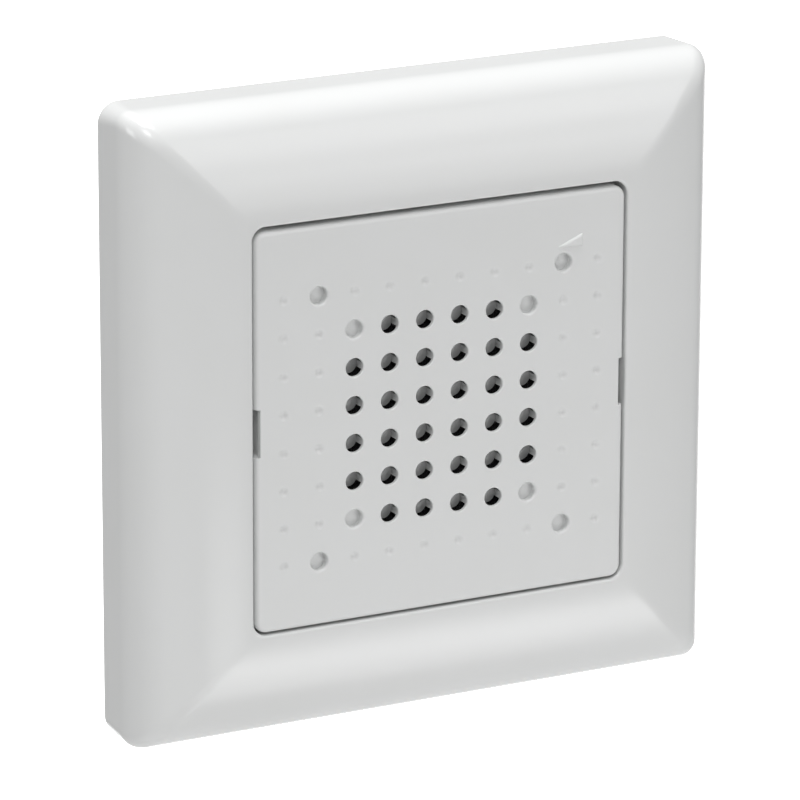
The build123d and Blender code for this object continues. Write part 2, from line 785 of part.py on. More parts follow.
# Solder tags on a strip under the basket's flange, with a wire from each tag to the board
tag_place = basket_radius + tag_strip_width / 2 - (flange_width - basket_wall) + seat_gap
tag_frame = Plane(
    origin=(tag_place * cos(radians(tag_angle)), 0, tag_place * sin(radians(tag_angle))),
    x_dir=(cos(radians(tag_angle)), 0, sin(radians(tag_angle))),
    z_dir=(0, -1, 0),
)
with BuildPart() as speaker_tag_strip:
    with BuildSketch(tag_frame.offset(flange_back - tag_strip_thickness)):
        Rectangle(tag_strip_width, tag_strip_length)
    extrude(amount=tag_strip_thickness)
speaker_tag_strip.part.label = "speaker_tag_strip"
export_step(speaker_tag_strip.part, "parts/speaker_tag_strip.step")

tag_back = flange_back - tag_strip_thickness - tag_thickness
with BuildPart() as speaker_tags:
    with BuildSketch(tag_frame.offset(tag_back)):
        with GridLocations(0, tag_width + tag_gap, 1, 2):
            Rectangle(tag_length, tag_width)
    extrude(amount=tag_thickness)
speaker_tags.part.label = "speaker_tags"
export_step(speaker_tags.part, "parts/speaker_tags.step")

with BuildPart() as speaker_leads:
    with BuildSketch(tag_frame.offset(tag_back)):
        with GridLocations(0, tag_width + tag_gap, 1, 2):
            Circle(wire_radius)
    extrude(amount=board_front - tag_back)
speaker_leads.part.label = "speaker_leads"
export_step(speaker_leads.part, "parts/speaker_leads.step")

# Volume control behind the blind hole at the top right
with BuildPart() as volume_trimmer:
    with BuildSketch(off_wall(carrier_height - trimmer_height)):
        with Locations((volume_x, volume_z)):
            Rectangle(trimmer_width, trimmer_width)
    extrude(amount=trimmer_height)
    with BuildSketch(off_wall(carrier_height)):
        with Locations((volume_x, volume_z)):
            Circle(rotor_shaft_radius + running_fit)
    extrude(amount=-rotor_shaft_length, mode=Mode.SUBTRACT)
volume_trimmer.part.label = "volume_trimmer"
export_step(volume_trimmer.part, "parts/volume_trimmer.step")

rotor_head_back = carrier_height + seat_gap
with BuildPart() as volume_rotor:
    with BuildSketch(off_wall(rotor_head_back)):
        with Locations((volume_x, volume_z)):
            Circle(rotor_head_radius)
    extrude(amount=rotor_head_height)
    with BuildSketch(off_wall(rotor_head_back + rotor_head_height)):
        with Locations((volume_x, volume_z)):
            Rectangle(rotor_slot_width, 2 * rotor_head_radius - 2 * rotor_slot_width)
            Rectangle(2 * rotor_head_radius - 2 * rotor_slot_width, rotor_slot_width)
    extrude(amount=-rotor_slot_depth, mode=Mode.SUBTRACT)
    with BuildSketch(off_wall(rotor_head_back)):
        with Locations((volume_x, volume_z)):
            Circle(rotor_shaft_radius)
    extrude(amount=-rotor_shaft_length)
volume_rotor.part.label = "volume_rotor"
export_step(volume_rotor.part, "parts/volume_rotor.step")

volume_lead_inset = trimmer_width / 2 - 2 * wire_radius
volume_lead_step = (2 * wire_radius + volume_lead_gap) / 2
volume_lead_places = [
    (volume_x - volume_lead_inset + index * volume_lead_step, volume_z - volume_lead_inset - index * volume_lead_step)
    for index in (-1, 0, 1)
]
with BuildPart() as volume_leads:
    with BuildSketch(off_wall(board_front)):
        with Locations(*volume_lead_places):
            Circle(wire_radius)
    extrude(amount=carrier_height - trimmer_height - board_front)
volume_leads.part.label = "volume_leads"
export_step(volume_leads.part, "parts/volume_leads.step")

# Circuit board on three bosses
with BuildPart() as circuit_board:
    with BuildSketch(off_wall(board_back)):
        Circle(board_radius)
        with Locations(*board_boss_places):
            Circle(screw_clearance_radius, mode=Mode.SUBTRACT)
    extrude(amount=board_thickness)
circuit_board.part.label = "circuit_board"
export_step(circuit_board.part, "parts/circuit_board.step")

with BuildPart() as board_screws:
    with BuildSketch(off_wall(board_front)):
        with Locations(*board_boss_places):
            Circle(screw_head_radius)
    extrude(amount=screw_head_height)
    with BuildSketch(off_wall(board_front)):
        with Locations(*board_boss_places):
            Circle(screw_radius)
    extrude(amount=-board_screw_length)
board_screws.part.label = "board_screws"
export_step(board_screws.part, "parts/board_screws.step")


def board_place(shares):
    """Position on the circuit board for a pair of shares of its radius."""
    return (shares[0] * board_radius, shares[1] * board_radius)


def chip(length, place):
    """A moulded chip body with rows of legs along both long sides."""
    leg_count = int((length - chip_leg_width) / chip_leg_pitch) + 1
    with BuildPart() as body:
        with BuildSketch(off_wall(board_front + seat_gap)):
            with Locations(place):
                Rectangle(length, chip_width)
        extrude(amount=chip_height - seat_gap)
        with BuildSketch(off_wall(board_front)):
            with Locations(place):
                with GridLocations(chip_leg_pitch, 0, leg_count, 1):
                    Rectangle(chip_leg_width, chip_span)
        extrude(amount=chip_leg_height)
    return body


sound_chip = chip(sound_chip_length, board_place(sound_chip_shares))
sound_chip.part.label = "sound_chip"
export_step(sound_chip.part, "parts/sound_chip.step")

amplifier_chip = chip(amplifier_length, board_place(amplifier_shares))
amplifier_chip.part.label = "amplifier_chip"
export_step(amplifier_chip.part, "parts/amplifier_chip.step")

# Three upright cans beside the magnet
can_circle = (cup_inner + magnet_radius) / 2
can_list = [
    (small_can_radius, small_can_height, small_can_angles[0]),
    (small_can_radius, small_can_height, small_can_angles[1]),
    (large_can_radius, large_can_height, large_can_angle),
]
with BuildPart() as electrolytic_capacitors:
    for can_radius, can_height, can_angle in can_list:
        with BuildSketch(off_wall(board_front)):
            with PolarLocations(can_circle, 1, start_angle=can_angle):
                Circle(can_radius)
        extrude(amount=can_height)
electrolytic_capacitors.part.label = "electrolytic_capacitors"
export_step(electrolytic_capacitors.part, "parts/electrolytic_capacitors.step")


def axial_row(radius, length, gap, count, place):
    """A row of parts that lie along X above the board, each on two bent leads."""
    height = board_front + radius + lead_radius
    with BuildPart() as row:
        for index in range(count):
            row_z = place[1] - (index - (count - 1) / 2) * (2 * radius + gap)
            with BuildSketch(Plane.YZ.offset(place[0] - length / 2)):
                with Locations((-height, row_z)):
                    Circle(radius)
            extrude(amount=length)
            with BuildSketch(Plane.YZ.offset(place[0] - length / 2 - lead_overhang)):
                with Locations((-height, row_z)):
                    Rectangle(2 * lead_radius, 2 * lead_radius)
            extrude(amount=length + 2 * lead_overhang)
            with BuildSketch(off_wall(board_front)):
                with Locations((place[0], row_z)):
                    with GridLocations(length + 2 * lead_overhang - 2 * lead_radius, 0, 2, 1):
                        Rectangle(2 * lead_radius, 2 * lead_radius)
            extrude(amount=height + lead_radius - board_front)
    return row


rectifier_diodes = axial_row(diode_radius, diode_length, diode_gap, diode_count, board_place(diode_shares))
rectifier_diodes.part.label = "rectifier_diodes"
export_step(rectifier_diodes.part, "parts/rectifier_diodes.step")

board_resistors = axial_row(
    resistor_radius, resistor_length, resistor_gap, resistor_count, board_place(resistor_shares)
)
board_resistors.part.label = "board_resistors"
export_step(board_resistors.part, "parts/board_resistors.step")

# Two upright discs, each on a pair of short legs
disc_middle = board_front + disc_lift + disc_radius
with BuildPart() as ceramic_capacitors:
    with BuildSketch(Plane.XY.offset(magnet_radius + disc_thickness)):
        with GridLocations(4 * disc_radius, 0, 2, 1):
            with Locations((0, -disc_middle)):
                Circle(disc_radius)
    extrude(amount=disc_thickness)
    with BuildSketch(off_wall(board_front)):
        with Locations((0, magnet_radius + 3 * disc_thickness / 2)):
            with GridLocations(4 * disc_radius, 0, 2, 1):
                with GridLocations(disc_radius, 0, 2, 1):
                    Rectangle(2 * lead_radius, 2 * lead_radius)
    extrude(amount=disc_lift + disc_radius)
ceramic_capacitors.part.label = "ceramic_capacitors"
export_step(ceramic_capacitors.part, "parts/ceramic_capacitors.step")


# Terminal block on the back of the board, open at the rear for its screws and below for the wires
def behind_board(distance):
    """Height of a plane this far behind the circuit board."""
    return board_back - distance


with BuildPart() as terminal_block:
    with BuildSketch(off_wall(behind_board(0))):
        with Locations((0, block_middle)):
            Rectangle(block_width, block_depth)
    extrude(amount=-block_height)
    with BuildSketch(off_wall(behind_board(pocket_start))):
        with Locations((0, block_middle + (pocket_back - pocket_front) / 2)):
            with GridLocations(pole_distance, 0, 2, 1):
                Rectangle(pocket_width, pocket_back + pocket_front)
    extrude(amount=pocket_start - pocket_end, mode=Mode.SUBTRACT)
    with BuildSketch(off_wall(behind_board(pocket_end))):
        with Locations((0, block_middle)):
            with GridLocations(pole_distance, 0, 2, 1):
                Circle(clamp_screw_radius + running_fit)
    extrude(amount=-block_height, mode=Mode.SUBTRACT)
    with BuildSketch(off_wall(behind_board(pocket_end + screw_seat))):
        with Locations((0, block_middle)):
            with GridLocations(pole_distance, 0, 2, 1):
                Circle(clamp_head_radius + moving_gap)
    extrude(amount=-block_height, mode=Mode.SUBTRACT)
    with BuildSketch(Plane.XY.offset(block_middle)):
        with Locations((0, -behind_board(contact_start - entry_width / 2))):
            with GridLocations(pole_distance, 0, 2, 1):
                Rectangle(entry_width, entry_width)
    extrude(amount=-block_depth, mode=Mode.SUBTRACT)
    with BuildSketch(off_wall(behind_board(0))):
        with Locations((0, block_middle + pocket_back - seat_gap - contact_leg / 2)):
            with GridLocations(pole_distance, 0, 2, 1):
                Rectangle(contact_width + 2 * seat_gap, contact_leg + 2 * seat_gap)
    extrude(amount=-pocket_start, mode=Mode.SUBTRACT)
terminal_block.part.label = "terminal_block"
export_step(terminal_block.part, "parts/terminal_block.step")

with BuildPart() as terminal_contacts:
    with BuildSketch(off_wall(behind_board(contact_start))):
        with Locations((0, block_middle + (contact_leg + seat_gap) / 2)):
            with GridLocations(pole_distance, 0, 2, 1):
                Rectangle(contact_width, cage_length + contact_leg + seat_gap)
    extrude(amount=-contact_thickness)
    with BuildSketch(off_wall(behind_board(0))):
        with Locations((0, block_middle + cage_length / 2 + seat_gap + contact_leg / 2)):
            with GridLocations(pole_distance, 0, 2, 1):
                Rectangle(contact_width, contact_leg)
    extrude(amount=-contact_start)
terminal_contacts.part.label = "terminal_contacts"
export_step(terminal_contacts.part, "parts/terminal_contacts.step")

for side, pole_x in (("left", -pole_distance / 2), ("right", pole_distance / 2)):
    head_start = pocket_end + screw_seat + seat_gap
    shaft_end = contact_start + contact_thickness + moving_gap
    with BuildPart() as terminal_screw:
        with BuildSketch(off_wall(behind_board(head_start))):
            with Locations((pole_x, block_middle)):
                Circle(clamp_head_radius)
        extrude(amount=-clamp_head_height)
        with BuildSketch(off_wall(behind_board(head_start + clamp_head_height))):
            with Locations((pole_x, block_middle)):
                Rectangle(2 * clamp_head_radius, clamp_slot_width)
        extrude(amount=clamp_slot_depth, mode=Mode.SUBTRACT)
        with BuildSketch(off_wall(behind_board(head_start))):
            with Locations((pole_x, block_middle)):
                Circle(clamp_screw_radius)
        extrude(amount=head_start - shaft_end)
    terminal_screw.part.label = "terminal_screw_" + side
    export_step(terminal_screw.part, "parts/terminal_screw_" + side + ".step")

    with BuildPart() as terminal_cage:
        with BuildSketch(Plane.XY.offset(block_middle - cage_length / 2)):
            with Locations((pole_x, -behind_board(cage_start + cage_height / 2))):
                Rectangle(cage_width, cage_height)
                Rectangle(cage_width - 2 * cage_wall, cage_height - 2 * cage_end_wall, mode=Mode.SUBTRACT)
        extrude(amount=cage_length)
        with BuildSketch(off_wall(behind_board(cage_start + cage_height / 2))):
            with Locations((pole_x, block_middle)):
                Circle(clamp_screw_radius + running_fit)
        extrude(amount=-cage_height, mode=Mode.SUBTRACT)
    terminal_cage.part.label = "terminal_cage_" + side
    export_step(terminal_cage.part, "parts/terminal_cage_" + side + ".step")
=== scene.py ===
import math

import bmesh
import bpy
import numpy as np
from mathutils import Matrix, Vector


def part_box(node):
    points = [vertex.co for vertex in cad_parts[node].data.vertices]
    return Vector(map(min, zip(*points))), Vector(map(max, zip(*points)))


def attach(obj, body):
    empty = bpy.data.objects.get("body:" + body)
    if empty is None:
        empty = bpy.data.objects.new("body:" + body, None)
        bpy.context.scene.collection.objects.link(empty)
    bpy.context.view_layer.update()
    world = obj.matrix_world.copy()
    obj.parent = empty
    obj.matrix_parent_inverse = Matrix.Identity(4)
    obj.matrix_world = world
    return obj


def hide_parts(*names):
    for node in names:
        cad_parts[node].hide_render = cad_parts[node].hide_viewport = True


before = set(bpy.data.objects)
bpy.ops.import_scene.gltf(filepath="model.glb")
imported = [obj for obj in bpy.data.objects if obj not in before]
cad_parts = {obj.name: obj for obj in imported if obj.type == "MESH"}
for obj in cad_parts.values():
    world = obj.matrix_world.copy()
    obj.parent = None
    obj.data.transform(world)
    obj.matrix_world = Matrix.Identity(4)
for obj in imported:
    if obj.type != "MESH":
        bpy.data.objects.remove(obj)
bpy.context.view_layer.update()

MM = 0.001

# Sizes in millimetres. The front looks along -Y, and a height is measured off the wall.
# Cover frame
FRAME_HALF = 40.0
FRAME_FRONT = 12.8
FRAME_WALL = 1.8
SIDE_HEIGHT = 5.2  # where the side wall turns into the tight arc
SHOULDER = (36.6, 10.5)  # across and height, where the tight arc turns into the wide one
BORDER_HALF = 26.6  # outer side of the opening's flat border
OPENING_HALF = 25.7
OPENING_CORNER = 1.8
OPENING_EDGE = 0.3  # rounding of the opening's front edge
FOOT_EDGE = 0.15  # bevel of the outer side at the wall
LEDGE_HALF = 23.7
LEDGE_TOP = 9.3
LEDGE_BOTTOM = 8.1
LEDGE_EDGE = 0.1  # bevel of the ledge's inner edge
SUPPORT = 0.5  # points this far from an edge keep the flat beside it evenly shaded
# Corner radius by distance from the axis: tight along the mitre, wider at the outline and at the opening
OUTER_CORNERS = (
    (LEDGE_HALF, OPENING_CORNER), (OPENING_HALF, OPENING_CORNER), (26.0, 1.6), (BORDER_HALF, 0.8),
    (29.0, 0.9), (33.0, 1.1), (SHOULDER[0], 1.4), (38.5, 1.8), (FRAME_HALF, 2.0))
INNER_CORNERS = ((26.0, 1.8), (34.8, 1.0), (38.2, 1.8))
FOOT_CORNER = 2.7  # corner radius of the side wall at its foot
FOOT_CORNER_LOSS = 0.7  # and how much less it is at SIDE_HEIGHT
HOLLOW_CORNER = 3.6  # of the opening's wall, on the inside
# Webs: flat ribs across the hollow, with their upper edge as (distance from the axis, height)
WEB_PLACE = 18.2
WEB_HALF = 0.6
WEB_HEIGHT = 4.0
WEB_MIDDLE = 6.5
WEB_TOP = ((LEDGE_HALF + 0.02, LEDGE_BOTTOM + 0.5), (30.0, 11.2), (34.0, 9.6), (37.0, 7.6), (38.3, 5.6))

# Centre plate
PLATE_HALF = 25.4
PLATE_CORNER = 1.5
PLATE_EDGE = 0.6  # rounding of the front edge
PLATE_BACK = 11.2
SKIRT_END = 9.6
SKIRT_WALL = 1.2
SKIRT_EDGE = 0.1
EDGE_SUPPORT = 0.2  # the same for the face of the plate
TOP_DROP = 0.3  # how far the upper margin hangs down, above HANG_START
HANG_START = 20.0
HANG_RANGE = 4.0
NOTCH_HALF = 3.05
NOTCH_WIDTH = 0.65
NOTCH_FLOOR = 9.9
NOTCH_EDGE = 0.12
NOTCH_LIP = 0.75  # depth of the lip, behind which the notch is undercut
NOTCH_LIP_END = 0.85  # depth at which the undercut is full
NOTCH_UNDERCUT = 0.4

# Marks of the plate: columns from the left, rows from the top
PITCH = 4.8
COLUMNS, ROWS = 10, 8
FIELD_DROP = 0.5  # the marks' middle lies this far below the plate's
FIELD_COLUMNS = (2, 7)  # first and last of the sound holes, with blind corners
FIELD_ROWS = (1, 6)
OUTER_COLUMNS = (1, 8)  # of the four blind holes further out
OUTER_ROWS = (0, 7)
THROUGH_RADIUS = 1.18
THROUGH_EDGE = 0.16
BLIND_RADIUS = 1.15
BLIND_EDGE = 0.3
BLIND_FLOOR = 11.8
BLIND_FOOT = 0.05  # bevel between the blind hole's wall and floor
BLIND_MIDDLE = 0.625  # ring of points on the floor
DIMPLE_RADIUS = 0.62
DIMPLE_DEPTH = 0.26
DIMPLE_SPREAD = 1.25  # its soft profile ends at this share of the radius
DIMPLE_AROUND = 1.6  # and the face's first ring lies here
SKIN_BACK = 12.3
BACK_AROUND = 1.3  # ring behind a sound hole, as a share of its radius
POINTS_ROUND = 32  # points round a mark and round the edge of its cell
MARGIN_STEPS = 5  # steps across the upper and lower margins
CORNER_POINTS = 9  # points round a corner of the plate
LIP_POINTS = 9  # points across the rounding of its edge

# Grille behind the sound holes
GRILLE_BACK = 10.4
PAD_FRONT = 11.0
PAD_RADIUS = 1.2
PAD_EDGE = 0.08
PAD_EDGE_MIDDLE = 0.03
PAD_POINTS = 24
RIB_HALF = 0.425
RIB_LINES = (-1, -0.9, -0.5, 0, 0.5, 0.9, 1)  # lines across a rib, as shares of its half width
RIB_SINK = 0.01  # the ribs are let into the pads by this
LET_IN = 0.1  # the same where they meet the plate
WELL_HALF = 14.4
WELL_FRAME = 1.0
BOSS_RADIUS = 2.1

# Wedge above the blind hole at the top right: corners across and up, rings as (inset, rounding, height)
WEDGE_CORNERS = ((15.5, 18.2), (19.4, 18.2), (19.4, 19.8))
WEDGE_RINGS = ((0, 0.1, 12.7), (0, 0.1, 12.8), (0.13, 0.1, 12.955), (0.175, 0.1, 13.0),
               (0.215, 0.09, 13.03), (0.28, 0.06, 13.048), (0.34, 0.04, 13.05), (0.62, 0, 13.05))
WEDGE_CORNER_POINTS = 7


# Mesh tools
def place(across, height, up):
    """Points of the row frame, in metres, from millimetres across, off the wall and up."""
    across, height, up = np.broadcast_arrays(across, height, up)
    return np.stack([across, -height, up], axis=-1) * MM


def grid_faces(rows, columns, closed_rows, closed_columns):
    """Corner numbers of the quads of a grid whose points are stored row by row."""
    last_row = rows if closed_rows else rows - 1
    last_column = columns if closed_columns else columns - 1
    row, column = np.meshgrid(np.arange(last_row), np.arange(last_column), indexing="ij")
    next_row, next_column = (row + 1) % rows, (column + 1) % columns
    corners = [row * columns + column, row * columns + next_column,
               next_row * columns + next_column, next_row * columns + column]
    return np.stack(corners, axis=-1).reshape(-1, 4)


def new_object(name, data):
    """A new object in the scene."""
    made = bpy.data.objects.new(name, data)
    bpy.context.scene.collection.objects.link(made)
    return made


class Shell:
    """Collects point arrays and quads of one piece, then makes its mesh."""

    def __init__(self):
        self.points, self.faces, self.count = [], [], 0

    def surface(self, points, closed_rows=False, closed_columns=False):
        """Adds one grid of points, shaped rows by columns by 3."""
        self.surfaces(points[None], closed_rows, closed_columns)

    def surfaces(self, points, closed_rows=False, closed_columns=True):
        """Adds many grids at once, shaped pieces by rows by columns by 3."""
        pieces, rows, columns = points.shape[:3]
        one = grid_faces(rows, columns, closed_rows, closed_columns)
        starts = np.arange(pieces)[:, None, None] * rows * columns + self.count
        self.faces.append((one[None] + starts).reshape(-1, 4))
        self.points.append(points.reshape(-1, 3))
        self.count += pieces * rows * columns

    def finish(self, name, material, slot, body, smooth_angle=40, merge=2e-6):
        """The object: doubles merged, normals made consistent, shaded smooth below the given angle."""
        points, faces = np.concatenate(self.points), np.concatenate(self.faces)
        mesh = bpy.data.meshes.new(name)
        mesh.from_pydata(points.tolist(), [], faces.tolist())
        work = bmesh.new()
        work.from_mesh(mesh)
        bmesh.ops.remove_doubles(work, verts=work.verts, dist=merge)
        bmesh.ops.dissolve_degenerate(work, dist=merge / 4, edges=work.edges)
        bmesh.ops.recalc_face_normals(work, faces=work.faces)
        work.to_mesh(mesh)
        work.free()
        mesh.polygons.foreach_set("use_smooth", np.ones(len(mesh.polygons), bool))
        mesh.set_sharp_from_angle(angle=math.radians(smooth_angle))
        mesh.materials.append(material)
        piece = new_object(name, mesh)
        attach(piece, body)
        return piece


def arc(centre, radius, start, end, count):
    """Points on a circle from one angle to another, in degrees, as rows of (across, height)."""
    turn = np.radians(np.linspace(start, end, count))
    return np.stack([centre[0] + radius * np.cos(turn), centre[1] + radius * np.sin(turn)], axis=-1)


def tangent_arc(start, direction, end, count):
    """Points of the arc that leaves start along a direction and ends at end, and its direction there.

    The centre lies on the normal at start, at equal distance from both ends: the radius is the chord squared,
    divided by twice the product of chord and normal. The end direction is the start direction mirrored in the
    chord.
    """
    start, end, direction = (np.asarray(v, float) for v in (start, end, direction))
    direction = direction / np.hypot(*direction)
    normal = np.array([-direction[1], direction[0]])
    chord = end - start
    radius = (chord @ chord) / (2 * (chord @ normal))
    centre = start + radius * normal
    first = math.degrees(math.atan2(*(start - centre)[::-1]))
    last = math.degrees(math.atan2(*(end - centre)[::-1]))
    sweep = (last - first + 180) % 360 - 180
    unit = chord / np.hypot(*chord)
    return arc(centre, abs(radius), first, first + sweep, count), 2 * (direction @ unit) * unit - direction


# Materials. Surfaces that lie over a part of a finish: light and dark colour
BARE_METAL = ("d2d4d5", "b4b7b9")
CAN_ALUMINIUM = ("d3d6d8", "bcc0c3")
CAN_STRIPE = ("c9ccd2", "bfc2c8")
KRAFT_PAPER = ("9a7a52", "7d5f3c")
COPPER_TRACK = ("2f8a52", "277848")
LAMINATE = ("b8a56a", "9f8c52")
# Half lengths of the bodies that stand between bare leads or legs, and the length of the discs' legs
CHIP_BODY_HALF = 1.96
DIODE_BODY_HALF = 2.61
RESISTOR_BODY_HALF = 1.71
DISC_LEG = 0.71


def linear(hex_colour):
    """sRGB hex to linear RGBA."""
    parts = [int(hex_colour[i:i + 2], 16) / 255 for i in (0, 2, 4)]
    return tuple(c / 12.92 if c <= 0.04045 else ((c + 0.055) / 1.055) ** 2.4 for c in parts) + (1.0,)


def link(material, source, target):
    material.node_tree.links.new(source, target)


def add(material, kind, links=None, **settings):
    """Adds a node. A setting sets the node's own property, or an input by its name or its number (_1)."""
    node = material.node_tree.nodes.new("ShaderNode" + kind)
    for name, value in settings.items():
        if hasattr(node, name):
            setattr(node, name, value)
    for name, value in settings.items():
        if not hasattr(node, name):
            node.inputs[int(name[1:]) if name[1:].isdigit() else name.replace("_", " ")].default_value = value
    for name, source in (links or {}).items():
        link(material, source, node.inputs[name])
    return node


def new_finish(name):
    """An empty node material with its shader and Object coordinates in metres."""
    material = bpy.data.materials.new(name)
    material.use_nodes = True
    material.node_tree.nodes.clear()
    shader = add(material, "BsdfPrincipled")
    add(material, "OutputMaterial", {"Surface": shader.outputs[0]})
    where = add(material, "TexCoord").outputs["Object"]
    return material, shader, where


def shader_of(finish):
    """The shader node of a finish."""
    return finish.node_tree.nodes["Principled BSDF"]


def where_of(finish):
    """The Object coordinates of a finish."""
    return finish.node_tree.nodes["Texture Coordinate"].outputs["Object"]


def finish_of(name, light, dark, rough, rough_spread, patch_mm, grain_mm, grain_depth_mm,
              metallic=0.0, ior=None, coat=0.0, sheen=0.0, stretch=(1, 1, 1)):
    """Base recipe of a moulded, painted or plated surface.

    A broad noise of patch_mm shades the colour from light to dark and shifts the roughness by rough_spread up
    and down. A fine noise of grain_mm lifts the surface by grain_depth_mm. stretch draws both out along an
    axis, as rolling or drawing does.
    """
    material, shader, where = new_finish(name)
    drawn = add(material, "Mapping", {"Vector": where}, Scale=stretch).outputs[0]
    broad = add(material, "TexNoise", {"Vector": drawn}, Scale=1 / (patch_mm * MM), Detail=3.0,
                Roughness=0.55)
    fine = add(material, "TexNoise", {"Vector": drawn}, Scale=1 / (grain_mm * MM), Detail=2.0, Roughness=0.6)
    colour = add(material, "Mix", {"Factor": broad.outputs[0]}, data_type="RGBA")
    colour.inputs[6].default_value, colour.inputs[7].default_value = linear(dark), linear(light)
    link(material, colour.outputs[2], shader.inputs["Base Color"])
    # Most of the noise lies between 0.3 and 0.7
    shade = add(material, "MapRange", {"Value": broad.outputs[0]}, From_Min=0.3, From_Max=0.7,
                To_Min=rough - rough_spread, To_Max=rough + rough_spread)
    link(material, shade.outputs[0], shader.inputs["Roughness"])
    bump = add(material, "Bump", {"Height": fine.outputs[0]}, Distance=grain_depth_mm * MM, Strength=1.0)
    link(material, bump.outputs[0], shader.inputs["Normal"])
    shader.inputs["Metallic"].default_value = metallic
    if ior:
        shader.inputs["IOR"].default_value = ior
    shader.inputs["Coat Weight"].default_value = coat
    shader.inputs["Coat Roughness"].default_value = 0.1
    shader.inputs["Sheen Weight"].default_value = sheen
    return material


def lay_over(finish, mask, light, dark, rough, metallic=0.0, patch_mm=1.0):
    """Paints a second finish over the first where mask is 1, with its own colours and roughness."""
    shader = shader_of(finish)
    broad = add(finish, "TexNoise", {"Vector": where_of(finish)}, Scale=1 / (patch_mm * MM), Detail=2.0)
    shade = add(finish, "Mix", {"Factor": broad.outputs[0]}, data_type="RGBA")
    shade.inputs[6].default_value, shade.inputs[7].default_value = linear(dark), linear(light)
    under = shader.inputs["Base Color"].links[0].from_socket
    colour = add(finish, "Mix", {"Factor": mask}, data_type="RGBA")
    link(finish, under, colour.inputs[6])
    link(finish, shade.outputs[2], colour.inputs[7])
    link(finish, colour.outputs[2], shader.inputs["Base Color"])
    for socket, value in (("Roughness", rough), ("Metallic", metallic)):
        mixed = add(finish, "Mix", {"Factor": mask}, data_type="FLOAT")
        mixed.inputs[2].default_value = shader.inputs[socket].default_value
        mixed.inputs[3].default_value = value
        if shader.inputs[socket].links:
            link(finish, shader.inputs[socket].links[0].from_socket, mixed.inputs[2])
        link(finish, mixed.outputs[0], shader.inputs[socket])


def along(finish, axis):
    """One coordinate of the row frame in metres, by the letter of its axis."""
    return add(finish, "SeparateXYZ", {"Vector": where_of(finish)}).outputs["XYZ".index(axis)]


def turned_along(finish, axis, pitch_mm):
    """The absolute sine along an axis: a row of rounded ridges, one to each pitch_mm."""
    turned = add(finish, "Math", {0: along(finish, axis)}, operation="MULTIPLY", _1=math.pi / (pitch_mm * MM))
    wave = add(finish, "Math", {0: turned.outputs[0]}, operation="SINE")
    return add(finish, "Math", {0: wave.outputs[0]}, operation="ABSOLUTE").outputs[0]


def within(finish, value, middle_mm, half_mm):
    """A mask that is 1 where the value lies no more than half_mm from middle_mm."""
    return add(finish, "Math", {0: value}, operation="COMPARE", _1=middle_mm * MM, _2=half_mm * MM).outputs[0]


def outside(finish, mask):
    """The opposite of a mask."""
    return add(finish, "Math", {1: mask}, operation="SUBTRACT", _0=1.0).outputs[0]


def raise_by(finish, height, depth_mm):
    """Adds a relief to the finish: height runs from 0 to 1 and lifts the surface by depth_mm."""
    shader = shader_of(finish)
    under = shader.inputs["Normal"].links[0].from_socket
    relief = add(finish, "Bump", {"Height": height, "Normal": under}, Distance=depth_mm * MM, Strength=1.0)
    link(finish, relief.outputs[0], shader.inputs["Normal"])


def woven(finish, pitch_mm, depth_mm, gap, gap_shade):
    """Warp and weft in the plane of the wall: two crossing rows of threads, with painted shade in the gaps
    between them.

    Each thread is a rounded ridge, the absolute sine of the distance across it, and the higher one is on top.
    The gaps are where the higher one is below the given share of a thread's height, and their darker colour
    is painted shade.
    """
    warp, weft = turned_along(finish, "X", pitch_mm), turned_along(finish, "Z", pitch_mm)
    top = add(finish, "Math", {0: warp, 1: weft}, operation="MAXIMUM").outputs[0]
    raise_by(finish, top, depth_mm)
    # The gaps between the threads get a darker colour: painted shade
    hole = add(finish, "Math", {0: top}, operation="LESS_THAN", _1=gap).outputs[0]
    lay_over(finish, hole, gap_shade, gap_shade, 0.95)
    return finish


def fibrous(finish, length_mm, depth_mm):
    """Paper pulp: short fibres in three directions, each a noise drawn out along its own way.

    The directions are turns about Y in radians, and the noise is drawn out by 1 / 0.18 along the fibres.
    """
    for turn in (0.3, 1.4, 2.4):
        drawn = add(finish, "Mapping", {"Vector": where_of(finish)}, Rotation=(0, turn, 0),
                    Scale=(1, 1, 0.18)).outputs[0]
        fibres = add(finish, "TexNoise", {"Vector": drawn}, Scale=3 / (length_mm * MM), Detail=1.0)
        raise_by(finish, fibres.outputs[0], depth_mm)
    return finish


def cellular(finish, cell_mm, depth_mm):
    """Foam: round cells sunk between thin walls."""
    cell = add(finish, "TexVoronoi", {"Vector": where_of(finish)}, Scale=1 / (cell_mm * MM))
    raise_by(finish, cell.outputs["Distance"], depth_mm)
    return finish


def wound(finish, pitch_mm, depth_mm, start_mm, end_mm):
    """Enamelled wire round the former between two heights off the wall, with bare kraft paper elsewhere."""
    raise_by(finish, turned_along(finish, "Y", pitch_mm), depth_mm)
    wire = within(finish, along(finish, "Y"), -(start_mm + end_mm) / 2, (end_mm - start_mm) / 2)
    lay_over(finish, outside(finish, wire), *KRAFT_PAPER, 0.75)
    return finish


def middle_of(node, axis):
    """Middle of a node's box along an axis, in millimetres."""
    low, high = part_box(node)
    return (low["XYZ".index(axis)] + high["XYZ".index(axis)]) / 2 / MM


def leaded(finish, node, body_half_mm, axis="X"):
    """Bare tinned leads or legs beyond the middle body of a part that stands on the board."""
    body = within(finish, along(finish, axis), middle_of(node, axis), body_half_mm)
    lay_over(finish, outside(finish, body), *BARE_METAL, 0.32, 1.0, 0.6)
    return finish


def banded(finish, node, bands):
    """Painted rings round a part that lies along X: distance from its middle, half width and colour."""
    for distance, half, colour in bands:
        ring = within(finish, along(finish, "X"), middle_of(node, "X") + distance, half)
        lay_over(finish, ring, colour, colour, 0.4)
    return finish


